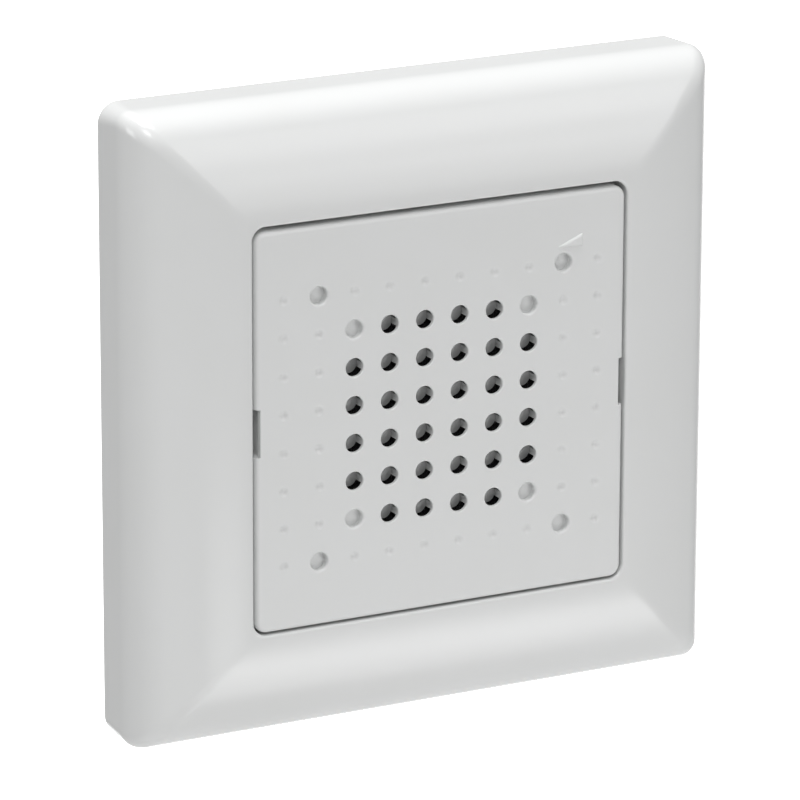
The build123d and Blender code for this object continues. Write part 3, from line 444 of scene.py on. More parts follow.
def printed_board(finish):
    """Copper tracks under the green lacquer: raised and a little lighter, with a bare edge of laminate.

    A track is where the sine of 26 times the distance to a cell's point is above 0.35, with square cells of
    about 5 mm. It stands out by 0.035 mm. The edge lies within 0.74 mm of the board's middle plane.
    """
    cell = add(finish, "TexVoronoi", {"Vector": where_of(finish)}, distance="MANHATTAN", feature="F1",
               Scale=1 / (5.0 * MM))
    turned = add(finish, "Math", {0: cell.outputs["Distance"]}, operation="MULTIPLY", _1=26.0)
    wave = add(finish, "Math", {0: turned.outputs[0]}, operation="SINE").outputs[0]
    track = add(finish, "Math", {0: wave}, operation="GREATER_THAN", _1=0.35).outputs[0]
    raise_by(finish, track, 0.035)
    lay_over(finish, track, *COPPER_TRACK, 0.28)
    edge = within(finish, along(finish, "Y"), middle_of("circuit_board", "Y"), 0.74)
    lay_over(finish, edge, *LAMINATE, 0.6)
    return finish


def can_tops(finish):
    """Bare aluminium at the front end of the two sizes of can, and the pale stripe that marks the minus lead.

    The large can is 1 mm shorter than the two small ones, and the stripe is 1.4 mm wide.
    """
    low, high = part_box("electrolytic_capacitors")
    front = low[1] / MM
    small = within(finish, along(finish, "Y"), front, 0.05)
    large = within(finish, along(finish, "Y"), front + 1.0, 0.05)
    lay_over(finish, small, *CAN_ALUMINIUM, 0.3, 1.0)
    lay_over(finish, large, *CAN_ALUMINIUM, 0.3, 1.0)
    lay_over(finish, within(finish, along(finish, "Z"), 0.0, 0.7), *CAN_STRIPE, 0.35)
    return finish


def plated_sheet(finish, tint):
    """Passivated zinc: clouds of a second tint on the rolled sheet, 16 mm across and at most 0.55 strong."""
    cloud = add(finish, "TexNoise", {"Vector": where_of(finish)}, Scale=1 / (16 * MM), Detail=4.0,
                Distortion=1.2)
    patch = add(finish, "MapRange", {"Value": cloud.outputs[0]}, From_Min=0.45, From_Max=0.7, To_Min=0.0,
                To_Max=0.55).outputs[0]
    lay_over(finish, patch, tint, tint, 0.36, 1.0)
    return finish


# Each base recipe gives its name, light and dark colour, roughness and its spread, then the patch, the grain
# and the grain's depth in millimetres, and for metals a metallic value of 1
finishes = {
    # Glossy ABS, moulded against polished steel: an even neutral white with soft, clear highlights
    "cover_white": finish_of("glossy_white_abs", "e7e8e8", "e4e5e4", 0.22, 0.02, 18, 3.0, 0.002, ior=1.53),
    # Satin ABS, moulded against fine spark-eroded steel: the same white, lit evenly. Its grain of 0.05 mm is
    # drawn at 0.25 mm, so that it shows
    "plate_white": finish_of("satin_white_abs", "e5e6e6", "e2e3e2", 0.42, 0.03, 12, 0.25, 0.002, ior=1.53),
    # Gauze of 0.1 mm thread, drawn at a pitch of 0.35 mm, with painted shade in the gaps between its threads
    "gauze_black": woven(finish_of("black_gauze", "1e1e1f", "131314", 0.85, 0.05, 3, 0.4, 0.02, sheen=0.3),
                         0.35, 0.08, 0.45, "040404"),
    "zinc_steel": plated_sheet(
        finish_of("zinc_plated_sheet", "c9cdd2", "b3b8bd", 0.32, 0.06, 9, 0.8, 0.004, 1.0,
                  stretch=(0.2, 1, 1)), "d3cfb4"),
    "housing_grey": finish_of("light_grey_abs", "d3d5d4", "c8cbc9", 0.55, 0.04, 14, 0.3, 0.012, ior=1.53),
    "carrier_black": finish_of("black_abs", "2c2d2e", "212223", 0.5, 0.05, 10, 0.3, 0.014, ior=1.53),
    "screw_steel": finish_of("zinc_plated_screws", "c6cace", "a0a5ab", 0.3, 0.08, 1.5, 0.3, 0.006, 1.0),
    "gasket_foam": cellular(finish_of("black_foam", "2c2c2d", "161617", 0.95, 0.03, 1.2, 0.35, 0.05),
                            0.45, 0.12),
    "basket_steel": finish_of("black_coated_steel", "2a2b2d", "1c1d1f", 0.38, 0.06, 5, 0.9, 0.014, ior=1.5,
                              coat=0.3),
    # Cloths of 0.2 mm thread, drawn a little coarser, with painted shade in the gaps between their threads
    "surround_cloth": woven(finish_of("doped_cloth", "2d2d2f", "1c1c1d", 0.62, 0.08, 2, 0.4, 0.02, sheen=0.2),
                            0.4, 0.04, 0.3, "101011"),
    "spider_cloth": woven(finish_of("phenolic_cloth", "c9a262", "ab8343", 0.8, 0.05, 2.5, 0.5, 0.03),
                          0.5, 0.06, 0.4, "6f5124"),
    "cone_paper": fibrous(
        finish_of("black_pulp_paper", "3b3b3c", "28292a", 0.85, 0.05, 1.6, 0.35, 0.02, sheen=0.1), 1.5, 0.03),
    # Wire of 0.12 mm, drawn at 0.2 mm, between the two heights off the wall
    "coil_copper": wound(finish_of("enamelled_copper", "c47a45", "9c5526", 0.3, 0.05, 1.0, 0.15, 0.01, 1.0),
                         0.2, 0.05, -3.2, -1.9),
    "magnet_steel": plated_sheet(
        finish_of("plated_magnet_steel", "bcc0c4", "9ea3a8", 0.3, 0.08, 4, 0.7, 0.006, 1.0), "c9c3a0"),
    "ferrite": cellular(finish_of("ground_ferrite", "4a4b4e", "36373a", 0.62, 0.08, 3, 0.4, 0.02), 0.6, 0.02),
    "tag_board": fibrous(finish_of("paper_laminate", "8a5f36", "6d4724", 0.6, 0.06, 2, 0.4, 0.01), 1.2, 0.01),
    "tinned_metal": finish_of("tinned_brass", "d6d7d6", "b4b6b5", 0.34, 0.08, 0.9, 0.3, 0.012, 1.0),
    "lead_red": finish_of("red_pvc_lead", "b02420", "931a17", 0.36, 0.05, 3, 0.5, 0.008, ior=1.53,
                          stretch=(1, 0.2, 1)),
    "lead_grey": finish_of("grey_pvc_lead", "8a8c8e", "747678", 0.36, 0.05, 3, 0.5, 0.008, ior=1.53,
                           stretch=(1, 0.2, 1)),
    "trimmer_blue": finish_of("blue_trimmer_body", "2a57a8", "204688", 0.4, 0.05, 2, 0.4, 0.01, ior=1.53),
    "rotor_white": finish_of("white_rotor", "e2e2dc", "d0d0c8", 0.42, 0.05, 2, 0.4, 0.008, ior=1.53),
    "board_green": printed_board(
        finish_of("green_solder_mask", "1f6b3c", "165430", 0.28, 0.05, 2.2, 1.2, 0.01, ior=1.5, coat=0.4)),
    "chip_black": finish_of("epoxy_chip_body", "2d2d2e", "1f1f20", 0.62, 0.06, 1.5, 0.2, 0.01),
    "can_sleeve": can_tops(
        finish_of("capacitor_sleeve", "23304e", "182238", 0.3, 0.05, 3, 0.8, 0.004, ior=1.53, coat=0.3)),
    # The pale ring marks the diodes' minus end, and the resistors' rings give their value
    "diode_black": banded(
        leaded(finish_of("black_diode_body", "2b2b2c", "1c1c1d", 0.45, 0.06, 1.0, 0.3, 0.008),
               "rectifier_diodes", DIODE_BODY_HALF),
        "rectifier_diodes", [(1.9, 0.35, "c9cbcc")]),
    "resistor_tan": banded(
        leaded(finish_of("lacquered_resistor", "cdb58c", "b39a70", 0.4, 0.06, 1.0, 0.3, 0.012),
               "board_resistors", RESISTOR_BODY_HALF),
        "board_resistors",
        [(-1.2, 0.17, "5b3418"), (-0.65, 0.17, "1c1b1a"), (-0.1, 0.17, "a3211c"), (1.1, 0.17, "b08a3c")]),
    "disc_ochre": finish_of("dipped_disc", "c9873a", "ab6d28", 0.42, 0.06, 1.2, 0.4, 0.02),
    "terminal_green": finish_of("green_polyamide", "2f8a50", "25723f", 0.45, 0.05, 3, 0.3, 0.01, ior=1.53),
    "clamp_brass": finish_of("plated_brass_clamp", "c9b37a", "a8935c", 0.32, 0.08, 1.2, 0.3, 0.01, 1.0),
}

# The feet of the two chips and the legs of the disc capacitors are bare metal on the same solids
amplifier_finish = finish_of("amplifier_chip_body", "2d2d2e", "1f1f20", 0.62, 0.06, 1.5, 0.2, 0.01)
leaded(finishes["chip_black"], "sound_chip", CHIP_BODY_HALF, "Z")
leaded(amplifier_finish, "amplifier_chip", CHIP_BODY_HALF, "Z")
disc_low, disc_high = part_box("ceramic_capacitors")
disc_legs = within(finishes["disc_ochre"], along(finishes["disc_ochre"], "Y"), disc_high[1] / MM, DISC_LEG)
lay_over(finishes["disc_ochre"], disc_legs, *BARE_METAL, 0.32, 1.0, 0.6)


# Cover frame: one closed section carried round a square whose corner radius changes with the section.
# A straight run has points at these distances from its ends, so that the arcs' shading doesn't run along it
RUN_POINTS = (0.35, 4.0, 12.0)


def carry_section(section, radii, corner_steps=15):
    """Carries section points (across, height) round the frame's axis.

    At each section point the path is a square of that half width with its own corner radius r: a point of the
    corner arc is the centre plus r times (cos a, sin a), with the centre at the half width less r. A straight
    run follows each arc.
    """
    angles = np.radians(np.linspace(0, 90, corner_steps))
    half, height = section[:, :1], section[:, 1:]
    r = radii[:, None]
    centre = half - r
    across = centre + r * np.cos(angles)[None]
    up = centre + r * np.sin(angles)[None]
    run_across = centre - np.array([RUN_POINTS])
    run_across = np.concatenate([run_across, -run_across[:, ::-1]], axis=1)
    run_up = np.broadcast_to(half, run_across.shape)
    corner_x = np.concatenate([across, run_across], axis=1)
    corner_z = np.concatenate([up, run_up], axis=1)
    sides = []
    for quarter in range(4):
        sides.append((corner_x, corner_z))
        corner_x, corner_z = -corner_z, corner_x
    x = np.concatenate([s[0] for s in sides], axis=1)
    z = np.concatenate([s[1] for s in sides], axis=1)
    return place(x, np.broadcast_to(height, x.shape), z)


def frame_section():
    """The closed section of the frame and the corner radius that goes with each of its points.

    Outer side, tight arc to the shoulder, wide arc to the flat border, rounded opening edge, opening wall and
    ledge, then back along the inside at the wall's thickness.
    """
    tight, slope_way = tangent_arc((FRAME_HALF, SIDE_HEIGHT), (0, 1), SHOULDER, 13)
    wide, _ = tangent_arc(SHOULDER, slope_way, (BORDER_HALF, FRAME_FRONT), 19)
    outer = np.concatenate([
        [(FRAME_HALF - FOOT_EDGE, 0.0), (FRAME_HALF, FOOT_EDGE), (FRAME_HALF, SUPPORT),
         (FRAME_HALF, SIDE_HEIGHT - 0.4)],
        tight, wide[1:],
        [(BORDER_HALF - 0.3, FRAME_FRONT)],
        arc((OPENING_HALF + OPENING_EDGE, FRAME_FRONT - OPENING_EDGE), OPENING_EDGE, 90, 180, 7),
        [(OPENING_HALF, FRAME_FRONT - SUPPORT), (OPENING_HALF, LEDGE_TOP + 0.05), (OPENING_HALF, LEDGE_TOP),
         (OPENING_HALF - 0.05, LEDGE_TOP), (LEDGE_HALF + LEDGE_EDGE, LEDGE_TOP),
         (LEDGE_HALF, LEDGE_TOP - LEDGE_EDGE), (LEDGE_HALF, LEDGE_BOTTOM),
         (OPENING_HALF + FRAME_WALL, LEDGE_BOTTOM)],
    ])
    inner_half, inner_front = FRAME_HALF - FRAME_WALL, FRAME_FRONT - FRAME_WALL
    inner_shoulder = (SHOULDER[0] - FRAME_WALL, SHOULDER[1] - FRAME_WALL)
    inner_tight, inner_way = tangent_arc((inner_half, SIDE_HEIGHT), (0, 1), inner_shoulder, 9)
    inner_wide, _ = tangent_arc(inner_shoulder, inner_way, (BORDER_HALF, inner_front), 9)
    inner_wide = inner_wide[inner_wide[:, 0] > OPENING_HALF + FRAME_WALL]
    inner = np.concatenate([
        [(OPENING_HALF + FRAME_WALL, inner_front)],
        inner_wide[::-1][:-1], inner_tight[::-1],
        [(inner_half, 1.0), (inner_half, 0.0)],
    ])
    outer_radius = np.interp(outer[:, 0], *zip(*OUTER_CORNERS))
    side = (outer[:, 0] > FRAME_HALF - 0.2) & (outer[:, 1] < SIDE_HEIGHT)
    outer_radius[side] = FOOT_CORNER - FOOT_CORNER_LOSS * outer[side, 1] / SIDE_HEIGHT
    inner_radius = np.interp(inner[:, 0], *zip(*INNER_CORNERS))
    outer_radius[-1] = HOLLOW_CORNER
    inner_radius[0] = HOLLOW_CORNER
    return np.concatenate([outer, inner]), np.concatenate([outer_radius, inner_radius])


def add_webs(shell):
    """Flat ribs across the hollow of each side, two to a side, their upper edge let into the wall.

    Each is a closed loop of points, swept through its thickness and shut at both faces.
    """
    depth, top = np.array(WEB_TOP).T
    low = np.full_like(top, WEB_HEIGHT)
    loop_depth = np.concatenate([depth, depth[::-1]])
    loop_height = np.concatenate([low, top[::-1]])
    middle_depth = np.full_like(loop_depth, loop_depth.mean())
    middle_height = np.full_like(loop_height, WEB_MIDDLE)
    ring_depth = np.stack([middle_depth, loop_depth, loop_depth, middle_depth])
    ring_height = np.stack([middle_height, loop_height, loop_height, middle_height])
    for turn in range(4):
        for side in (-1, 1):
            near, far = side * WEB_PLACE - WEB_HALF, side * WEB_PLACE + WEB_HALF
            along_side = np.array([near, near, far, far])[:, None]
            x, z = ring_depth, np.broadcast_to(along_side, ring_depth.shape)
            for _ in range(turn):
                x, z = -z, x
            shell.surface(place(x, ring_height, z), closed_columns=True)


def make_cover_frame():
    """The frame's moulding: its carried section and the webs in its hollow."""
    shell = Shell()
    section, radii = frame_section()
    shell.surface(carry_section(section, radii), closed_rows=True, closed_columns=True)
    add_webs(shell)
    return shell.finish("cover_frame_moulding", finishes["cover_white"], "cover_white", "cover")


cover = make_cover_frame()
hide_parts("cover_frame")


# Centre plate: a field of cells, each a surface from its square edge to its round mark
def mark_place(column, row):
    """Place of a mark, across and up, counted from the top left."""
    return (column - (COLUMNS - 1) / 2) * PITCH, ((ROWS - 1) / 2 - row) * PITCH - FIELD_DROP


columns, rows = (a.ravel() for a in np.meshgrid(np.arange(COLUMNS), np.arange(ROWS), indexing="ij"))
in_columns = (columns >= FIELD_COLUMNS[0]) & (columns <= FIELD_COLUMNS[1])
in_rows = (rows >= FIELD_ROWS[0]) & (rows <= FIELD_ROWS[1])
in_field = in_columns & in_rows
inner_corner = np.isin(columns, FIELD_COLUMNS) & np.isin(rows, FIELD_ROWS)
outer_corner = np.isin(columns, OUTER_COLUMNS) & np.isin(rows, OUTER_ROWS)
through = in_field & ~inner_corner
blind = inner_corner | outer_corner
dimple = ~in_field & ~outer_corner
# The outer cells end where the plate's corner arcs have their centres
FIELD_SIDE = PLATE_HALF - PLATE_CORNER
PER_SIDE = POINTS_ROUND // 4


def cell_edges(chosen):
    """Points round the edge of each chosen cell, from its lower right corner upwards: cells by points."""
    column, row = columns[chosen], rows[chosen]
    x, z = mark_place(column, row)
    right = np.where(column == COLUMNS - 1, FIELD_SIDE, x + PITCH / 2)
    left = np.where(column == 0, -FIELD_SIDE, x - PITCH / 2)
    high, low = z + PITCH / 2, z - PITCH / 2
    share = np.arange(PER_SIDE) / PER_SIDE

    def mix(a, b):
        return a[:, None] * (1 - share) + b[:, None] * share

    def hold(a):
        return a[:, None] * np.ones_like(share)

    edge_x = np.concatenate([hold(right), mix(right, left), hold(left), mix(left, right)], axis=1)
    edge_z = np.concatenate([mix(low, high), hold(high), mix(high, low), hold(low)], axis=1)
    return x, z, edge_x, edge_z


def cells(chosen, section, height):
    """Cell surfaces: the square edge at the given height, then the rings of the section.

    The section lists (radius, height); a radius of 0 closes the mark with a point.
    """
    x, z, edge_x, edge_z = cell_edges(chosen)
    turn = np.radians(-45 + np.arange(POINTS_ROUND) * 360 / POINTS_ROUND)
    radius, level = np.asarray(section, float).T
    ring_x = x[:, None, None] + radius[None, :, None] * np.cos(turn)
    ring_z = z[:, None, None] + radius[None, :, None] * np.sin(turn)
    ring_height = np.broadcast_to(level[None, :, None], ring_x.shape)
    all_x = np.concatenate([edge_x[:, None], ring_x], axis=1)
    all_z = np.concatenate([edge_z[:, None], ring_z], axis=1)
    all_height = np.concatenate([np.full_like(edge_x, height)[:, None], ring_height], axis=1)
    return place(all_x, all_height, all_z)


def mark_edge(radius, rounding, steps=6):
    """Rounded edge of a mark, from the face into the hole: a quarter circle, with one point before it."""
    lip = arc((radius + rounding, FRAME_FRONT - rounding), rounding, 90, 180, steps)
    return np.concatenate([[(radius + rounding * 1.5, FRAME_FRONT)], lip])


def dimple_section(rings=9):
    """Shallow round dimple, which leaves the face softly and is round at the bottom.

    Its depth is the squared cosine of a quarter turn times the share of the radius.
    """
    share = np.linspace(1, 0, rings)
    height = FRAME_FRONT - DIMPLE_DEPTH * np.cos(np.pi / 2 * share) ** 2
    points = np.stack([DIMPLE_RADIUS * DIMPLE_SPREAD * share, height], axis=-1)
    return np.concatenate([[(DIMPLE_RADIUS * DIMPLE_AROUND, FRAME_FRONT)], points])


def line_through(stops, steps=PER_SIDE):
    """Coordinates from the first stop to the last, with the same number of steps between neighbours."""
    runs = [np.linspace(a, b, steps, endpoint=False) for a, b in zip(stops[:-1], stops[1:])]
    return np.concatenate(runs + [[stops[-1]]])


# Places across and up where the plate's rim and margins have points, which are those of the cells' edges
between = (np.arange(1, COLUMNS) - COLUMNS / 2) * PITCH
x_line = line_through(np.concatenate([[-FIELD_SIDE], between, [FIELD_SIDE]]))
field_line = line_through((np.arange(ROWS + 1) - ROWS / 2) * PITCH - FIELD_DROP)
z_line = np.concatenate([np.linspace(-FIELD_SIDE, field_line[0], MARGIN_STEPS, endpoint=False), field_line,
                         np.linspace(field_line[-1], FIELD_SIDE, MARGIN_STEPS + 1)[1:]])


def hang(points):
    """The plate hangs in its clearance: its upper margin lies lower by TOP_DROP, with a smooth beginning."""
    share = np.clip((points[:, 2] / MM - HANG_START) / HANG_RANGE, 0, 1)
    points[:, 2] -= TOP_DROP * MM * share * share * (3 - 2 * share)


def add_front(shell):
    """Front of the cells: sound holes through the skin, blind holes and dimples."""
    hole = np.concatenate([mark_edge(THROUGH_RADIUS, THROUGH_EDGE), [(THROUGH_RADIUS, SKIN_BACK)]])
    shell.surfaces(cells(through, hole, FRAME_FRONT))
    floor = [(BLIND_RADIUS - 0.01, BLIND_FLOOR + BLIND_FOOT), (BLIND_RADIUS - BLIND_FOOT, BLIND_FLOOR),
             (BLIND_MIDDLE, BLIND_FLOOR), (0, BLIND_FLOOR)]
    cup = np.concatenate([mark_edge(BLIND_RADIUS, BLIND_EDGE), floor])
    shell.surfaces(cells(blind, cup, FRAME_FRONT))
    shell.surfaces(cells(dimple, dimple_section(), FRAME_FRONT))


def add_back(shell):
    """Back of the cells: holes through the skin, bosses behind the blind holes, flat behind the dimples."""
    hole = [(THROUGH_RADIUS * BACK_AROUND, SKIN_BACK), (THROUGH_RADIUS, SKIN_BACK)]
    shell.surfaces(cells(through, hole, SKIN_BACK))
    for chosen, level in ((inner_corner, SKIN_BACK), (outer_corner, PLATE_BACK)):
        boss = [(BOSS_RADIUS, level), (BOSS_RADIUS, GRILLE_BACK), (0, GRILLE_BACK)]
        shell.surfaces(cells(chosen, boss, level))
    shell.surfaces(cells(dimple, [(DIMPLE_RADIUS, PLATE_BACK), (0, PLATE_BACK)], PLATE_BACK))


def add_well_and_margins(shell):
    """Walls of the square well behind the skin, and the margins above and below the cells."""
    well_x = x_line[FIELD_COLUMNS[0] * PER_SIDE:(FIELD_COLUMNS[1] + 1) * PER_SIDE + 1]
    well_z = np.linspace(-WELL_HALF, WELL_HALF, len(well_x)) - FIELD_DROP
    levels = np.array([SKIN_BACK, PLATE_BACK])[:, None]
    for x, z in ((well_x, WELL_HALF - FIELD_DROP), (well_x, -WELL_HALF - FIELD_DROP),
                 (WELL_HALF, well_z), (-WELL_HALF, well_z)):
        shell.surface(place(*np.broadcast_arrays(np.asarray(x)[None], levels, np.asarray(z)[None])))
    for lines in (z_line[MARGIN_STEPS + ROWS * PER_SIDE:], z_line[:MARGIN_STEPS + 1]):
        for height in (FRAME_FRONT, PLATE_BACK):
            shell.surface(place(x_line[None], height, lines[:, None]))


def rim_side(line, angle, notched):
    """One side of the rim, turned by an angle, with the corner arc that follows it.

    Gives base points on the square of the corner centres, outward directions, and 1 for each point that lies
    in the notch. Where a notch begins or ends, the walk has the same place twice.
    """
    walk, in_notch = line, np.zeros(len(line))
    if notched:
        below, above = line[line <= -NOTCH_HALF], line[line >= NOTCH_HALF]
        inside = line[np.abs(line) < NOTCH_HALF - 1e-6]
        walk = np.concatenate([below, [-NOTCH_HALF, -NOTCH_HALF], inside, [NOTCH_HALF, NOTCH_HALF], above])
        in_notch = np.repeat([0.0, 1.0, 0.0], [len(below) + 1, len(inside) + 2, len(above) + 1])
    corner = np.radians(np.linspace(0, 90, CORNER_POINTS))[1:-1]
    base = np.concatenate([np.stack([np.full(len(walk), FIELD_SIDE), walk], axis=-1),
                           np.tile([FIELD_SIDE, FIELD_SIDE], (len(corner), 1))])
    way = np.concatenate([np.tile([1.0, 0.0], (len(walk), 1)),
                          np.stack([np.cos(corner), np.sin(corner)], axis=-1)])
    in_notch = np.concatenate([in_notch, np.zeros(len(corner))])
    turn = np.array([[math.cos(angle), math.sin(angle)], [-math.sin(angle), math.cos(angle)]])
    return base @ turn, way @ turn, in_notch


def rim_section(face_end, edge, rounding, wall):
    """Section of the rim as (distance out from the base, height): face, rounded edge, wall, skirt and back.

    The wall's points lead down to the notch's floor, below which every section is the same.
    """
    skirt_inner = PLATE_CORNER - SKIRT_WALL
    return np.concatenate([
        [(0, FRAME_FRONT), (face_end, FRAME_FRONT)],
        arc((edge - rounding, FRAME_FRONT - rounding), rounding, 90, 0, LIP_POINTS),
        wall,
        [(PLATE_CORNER, SKIRT_END + SKIRT_EDGE), (PLATE_CORNER - SKIRT_EDGE, SKIRT_END),
         (skirt_inner, SKIRT_END), (skirt_inner, PLATE_BACK), (0, PLATE_BACK)],
    ])


def add_rim(shell):
    """Rim of the plate with corner arcs and two notches: every ring is base plus t times direction."""
    sides = [rim_side(z_line, 0, True), rim_side(x_line, math.pi / 2, False),
             rim_side(-z_line[::-1], math.pi, True), rim_side(-x_line[::-1], 3 * math.pi / 2, False)]
    base, way, in_notch = (np.concatenate(parts) for parts in zip(*sides))
    plain = rim_section(PLATE_CORNER - PLATE_EDGE - EDGE_SUPPORT, PLATE_CORNER, PLATE_EDGE, [
        (PLATE_CORNER, NOTCH_FLOOR + SUPPORT), (PLATE_CORNER, NOTCH_FLOOR), (PLATE_CORNER, NOTCH_FLOOR)])
    # The notch is undercut behind its front lip, where a screwdriver's tip bites, so its depth is dark
    edge = PLATE_CORNER - NOTCH_WIDTH
    notched = rim_section(edge - EDGE_SUPPORT, edge, NOTCH_EDGE, [
        (edge, FRAME_FRONT - NOTCH_LIP), (edge - NOTCH_UNDERCUT, FRAME_FRONT - NOTCH_LIP_END),
        (edge - NOTCH_UNDERCUT, NOTCH_FLOOR)])
    t = np.where(in_notch > 0.5, notched[:, :1], plain[:, :1])
    height = np.where(in_notch > 0.5, notched[:, 1:], plain[:, 1:])
    x = base[None, :, 0] + way[None, :, 0] * t
    z = base[None, :, 1] + way[None, :, 1] * t
    shell.surface(place(x, height, z), closed_columns=True)


def make_centre_plate():
    """The plate's moulding, hung in its clearance."""
    shell = Shell()
    add_front(shell)
    add_back(shell)
    add_well_and_margins(shell)
    add_rim(shell)
    for points in shell.points:
        hang(points)
    return shell


white = finishes["plate_white"]
plate = make_centre_plate().finish("centre_plate_moulding", white, "plate_white", "plate", 35)


def add_pads(shell):
    """Discs with a rounded front edge, one behind each sound hole."""
    x, z = mark_place(columns[through], rows[through])
    turn = np.radians(np.arange(PAD_POINTS) * 360 / PAD_POINTS)
    section = np.array([(0, GRILLE_BACK), (PAD_RADIUS, GRILLE_BACK), (PAD_RADIUS, PAD_FRONT - PAD_EDGE),
                        (PAD_RADIUS - PAD_EDGE_MIDDLE, PAD_FRONT - PAD_EDGE_MIDDLE),
                        (PAD_RADIUS - PAD_EDGE, PAD_FRONT), (0, PAD_FRONT)])
    ring_x = x[:, None, None] + section[None, :, :1] * np.cos(turn)
    ring_z = z[:, None, None] + section[None, :, :1] * np.sin(turn)
    shell.surfaces(place(ring_x, np.broadcast_to(section[None, :, 1:], ring_x.shape), ring_z))


def add_rib(shell, begin, end, lines):
    """One rib from begin to end across, at the given lines up, shut at its two sides."""
    points = np.stack([
        place(begin, GRILLE_BACK, lines), place(begin, SKIN_BACK + LET_IN, lines),
        place(end, SKIN_BACK + LET_IN, lines), place(end, GRILLE_BACK, lines)])
    shell.surface(points, closed_rows=True)
    for edge in (0, -1):
        shell.surface(np.stack([points[[0, 1], edge], points[[3, 2], edge]]))


def make_labyrinth():
    """Pads behind the sound holes, ribs between them with ends hollowed to the pads, and the well's frame."""
    shell = Shell()
    add_pads(shell)
    across = np.array(RIB_LINES) * RIB_HALF
    reach = np.sqrt(PAD_RADIUS ** 2 - across ** 2) - RIB_SINK
    boss_wall = abs(mark_place(FIELD_COLUMNS[0], 0)[0]) - BOSS_RADIUS + LET_IN
    for row in range(FIELD_ROWS[0], FIELD_ROWS[1] + 1):
        # In the first and the last row the ribs end at the bosses, elsewhere at the well's wall
        at_corners = row in FIELD_ROWS
        wall = boss_wall if at_corners else WELL_HALF
        first, last = FIELD_COLUMNS[0] + at_corners, FIELD_COLUMNS[1] - at_corners
        places = [mark_place(column, row)[0] for column in range(first, last + 1)]
        begins = [np.full_like(reach, -wall)] + [place_x + reach for place_x in places]
        ends = [place_x - reach for place_x in places] + [np.full_like(reach, wall)]
        for begin, end in zip(begins, ends):
            add_rib(shell, begin, end, mark_place(0, row)[1] + across)
    loop = np.array([(WELL_HALF, GRILLE_BACK), (WELL_HALF + WELL_FRAME, GRILLE_BACK),
                     (WELL_HALF + WELL_FRAME, PLATE_BACK + LET_IN), (WELL_HALF, PLATE_BACK + LET_IN)])
    signs = np.array([(1, 1), (-1, 1), (-1, -1), (1, -1)])
    shell.surface(place(loop[:, :1] * signs[:, 0], loop[:, 1:], loop[:, :1] * signs[:, 1] - FIELD_DROP),
                  closed_rows=True, closed_columns=True)
    return shell


def make_wedge():
    """Raised wedge: a low triangle with slanted sides and rounded edges.

    Each ring is the triangle moved inwards by the inset and rounded: it is shrunk about the centre of its
    inner circle by the sum of inset and rounding over the inner radius, and each corner gets an arc.
    """
    corners = np.array(WEDGE_CORNERS)
    sides = np.roll(corners, -1, axis=0) - corners
    lengths = np.hypot(*sides.T)
    opposite = np.roll(lengths, -1)
    middle = (opposite[:, None] * corners).sum(axis=0) / opposite.sum()
    inner = abs(np.cross(sides[0], sides[1])) / lengths.sum()
    # Outward angles of the sides; each corner turns from the side before it to the side after it
    facing = np.degrees(np.arctan2(-sides[:, 0], sides[:, 1]))
    rings = []
    for inset, rounding, height in WEDGE_RINGS:
        shrunk = middle + (corners - middle) * (1 - (inset + rounding) / inner)
        ring = []
        for index in range(3):
            before = facing[index - 1]
            sweep = (facing[index] - before) % 360
            turn = np.radians(before + sweep * np.linspace(0, 1, WEDGE_CORNER_POINTS))
            ring.append(shrunk[index] + rounding * np.stack([np.cos(turn), np.sin(turn)], axis=-1))
        ring = np.concatenate(ring)
        rings.append(place(ring[:, 0], height, ring[:, 1]))
    shell = Shell()
    shell.surface(np.stack(rings), closed_columns=True)
    return shell


make_labyrinth().finish("plate_labyrinth", white, "plate_white", "plate", 35)
make_wedge().finish("volume_wedge", white, "plate_white", "plate", 50)
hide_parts("centre_plate")

# Finishes of the carried-over nodes
NODE_FINISH = {
    "snap_arms": "plate_white", "acoustic_cloth": "gauze_black", "support_plate": "zinc_steel",
    "housing": "housing_grey", "speaker_carrier": "carrier_black", "carrier_screws": "screw_steel",
    "speaker_gasket": "gasket_foam", "speaker_basket": "basket_steel", "cone_surround": "surround_cloth",
    "speaker_cone": "cone_paper", "dust_cap": "cone_paper", "voice_coil": "coil_copper",
    "spider": "spider_cloth", "magnet_top_plate": "magnet_steel", "speaker_magnet": "ferrite",
    "magnet_yoke": "magnet_steel", "speaker_tag_strip": "tag_board", "speaker_tags": "tinned_metal",
    "speaker_leads": "lead_red", "volume_trimmer": "trimmer_blue", "volume_rotor": "rotor_white",
    "volume_leads": "lead_grey", "circuit_board": "board_green", "board_screws": "screw_steel",
    "sound_chip": "chip_black", "amplifier_chip": "chip_black", "electrolytic_capacitors": "can_sleeve",
    "rectifier_diodes": "diode_black", "board_resistors": "resistor_tan", "ceramic_capacitors": "disc_ochre",
    "terminal_block": "terminal_green", "terminal_contacts": "clamp_brass",
    "terminal_screw_left": "screw_steel", "terminal_screw_right": "screw_steel",
    "terminal_cage_left": "clamp_brass", "terminal_cage_right": "clamp_brass",
}
for node, slot in NODE_FINISH.items():
    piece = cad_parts[node]
    piece.data.materials.clear()
    piece.data.materials.append(amplifier_finish if node == "amplifier_chip" else finishes[slot])


# Floor, lights, camera. Sizes and places in metres
PAPER = "f4f4f4"
FLOOR_HALF = 6.0
FLOOR_LEVEL = -0.9
FLOOR_GLOW = 0.026
BACKDROP_SIDES = (-0.1, 2.2)
BACKDROP_TOP = 0.1
BACKDROP_PLACE = 1.3
BACKDROP_GLOW = 1.06
WORLD_LIGHT = 0.175
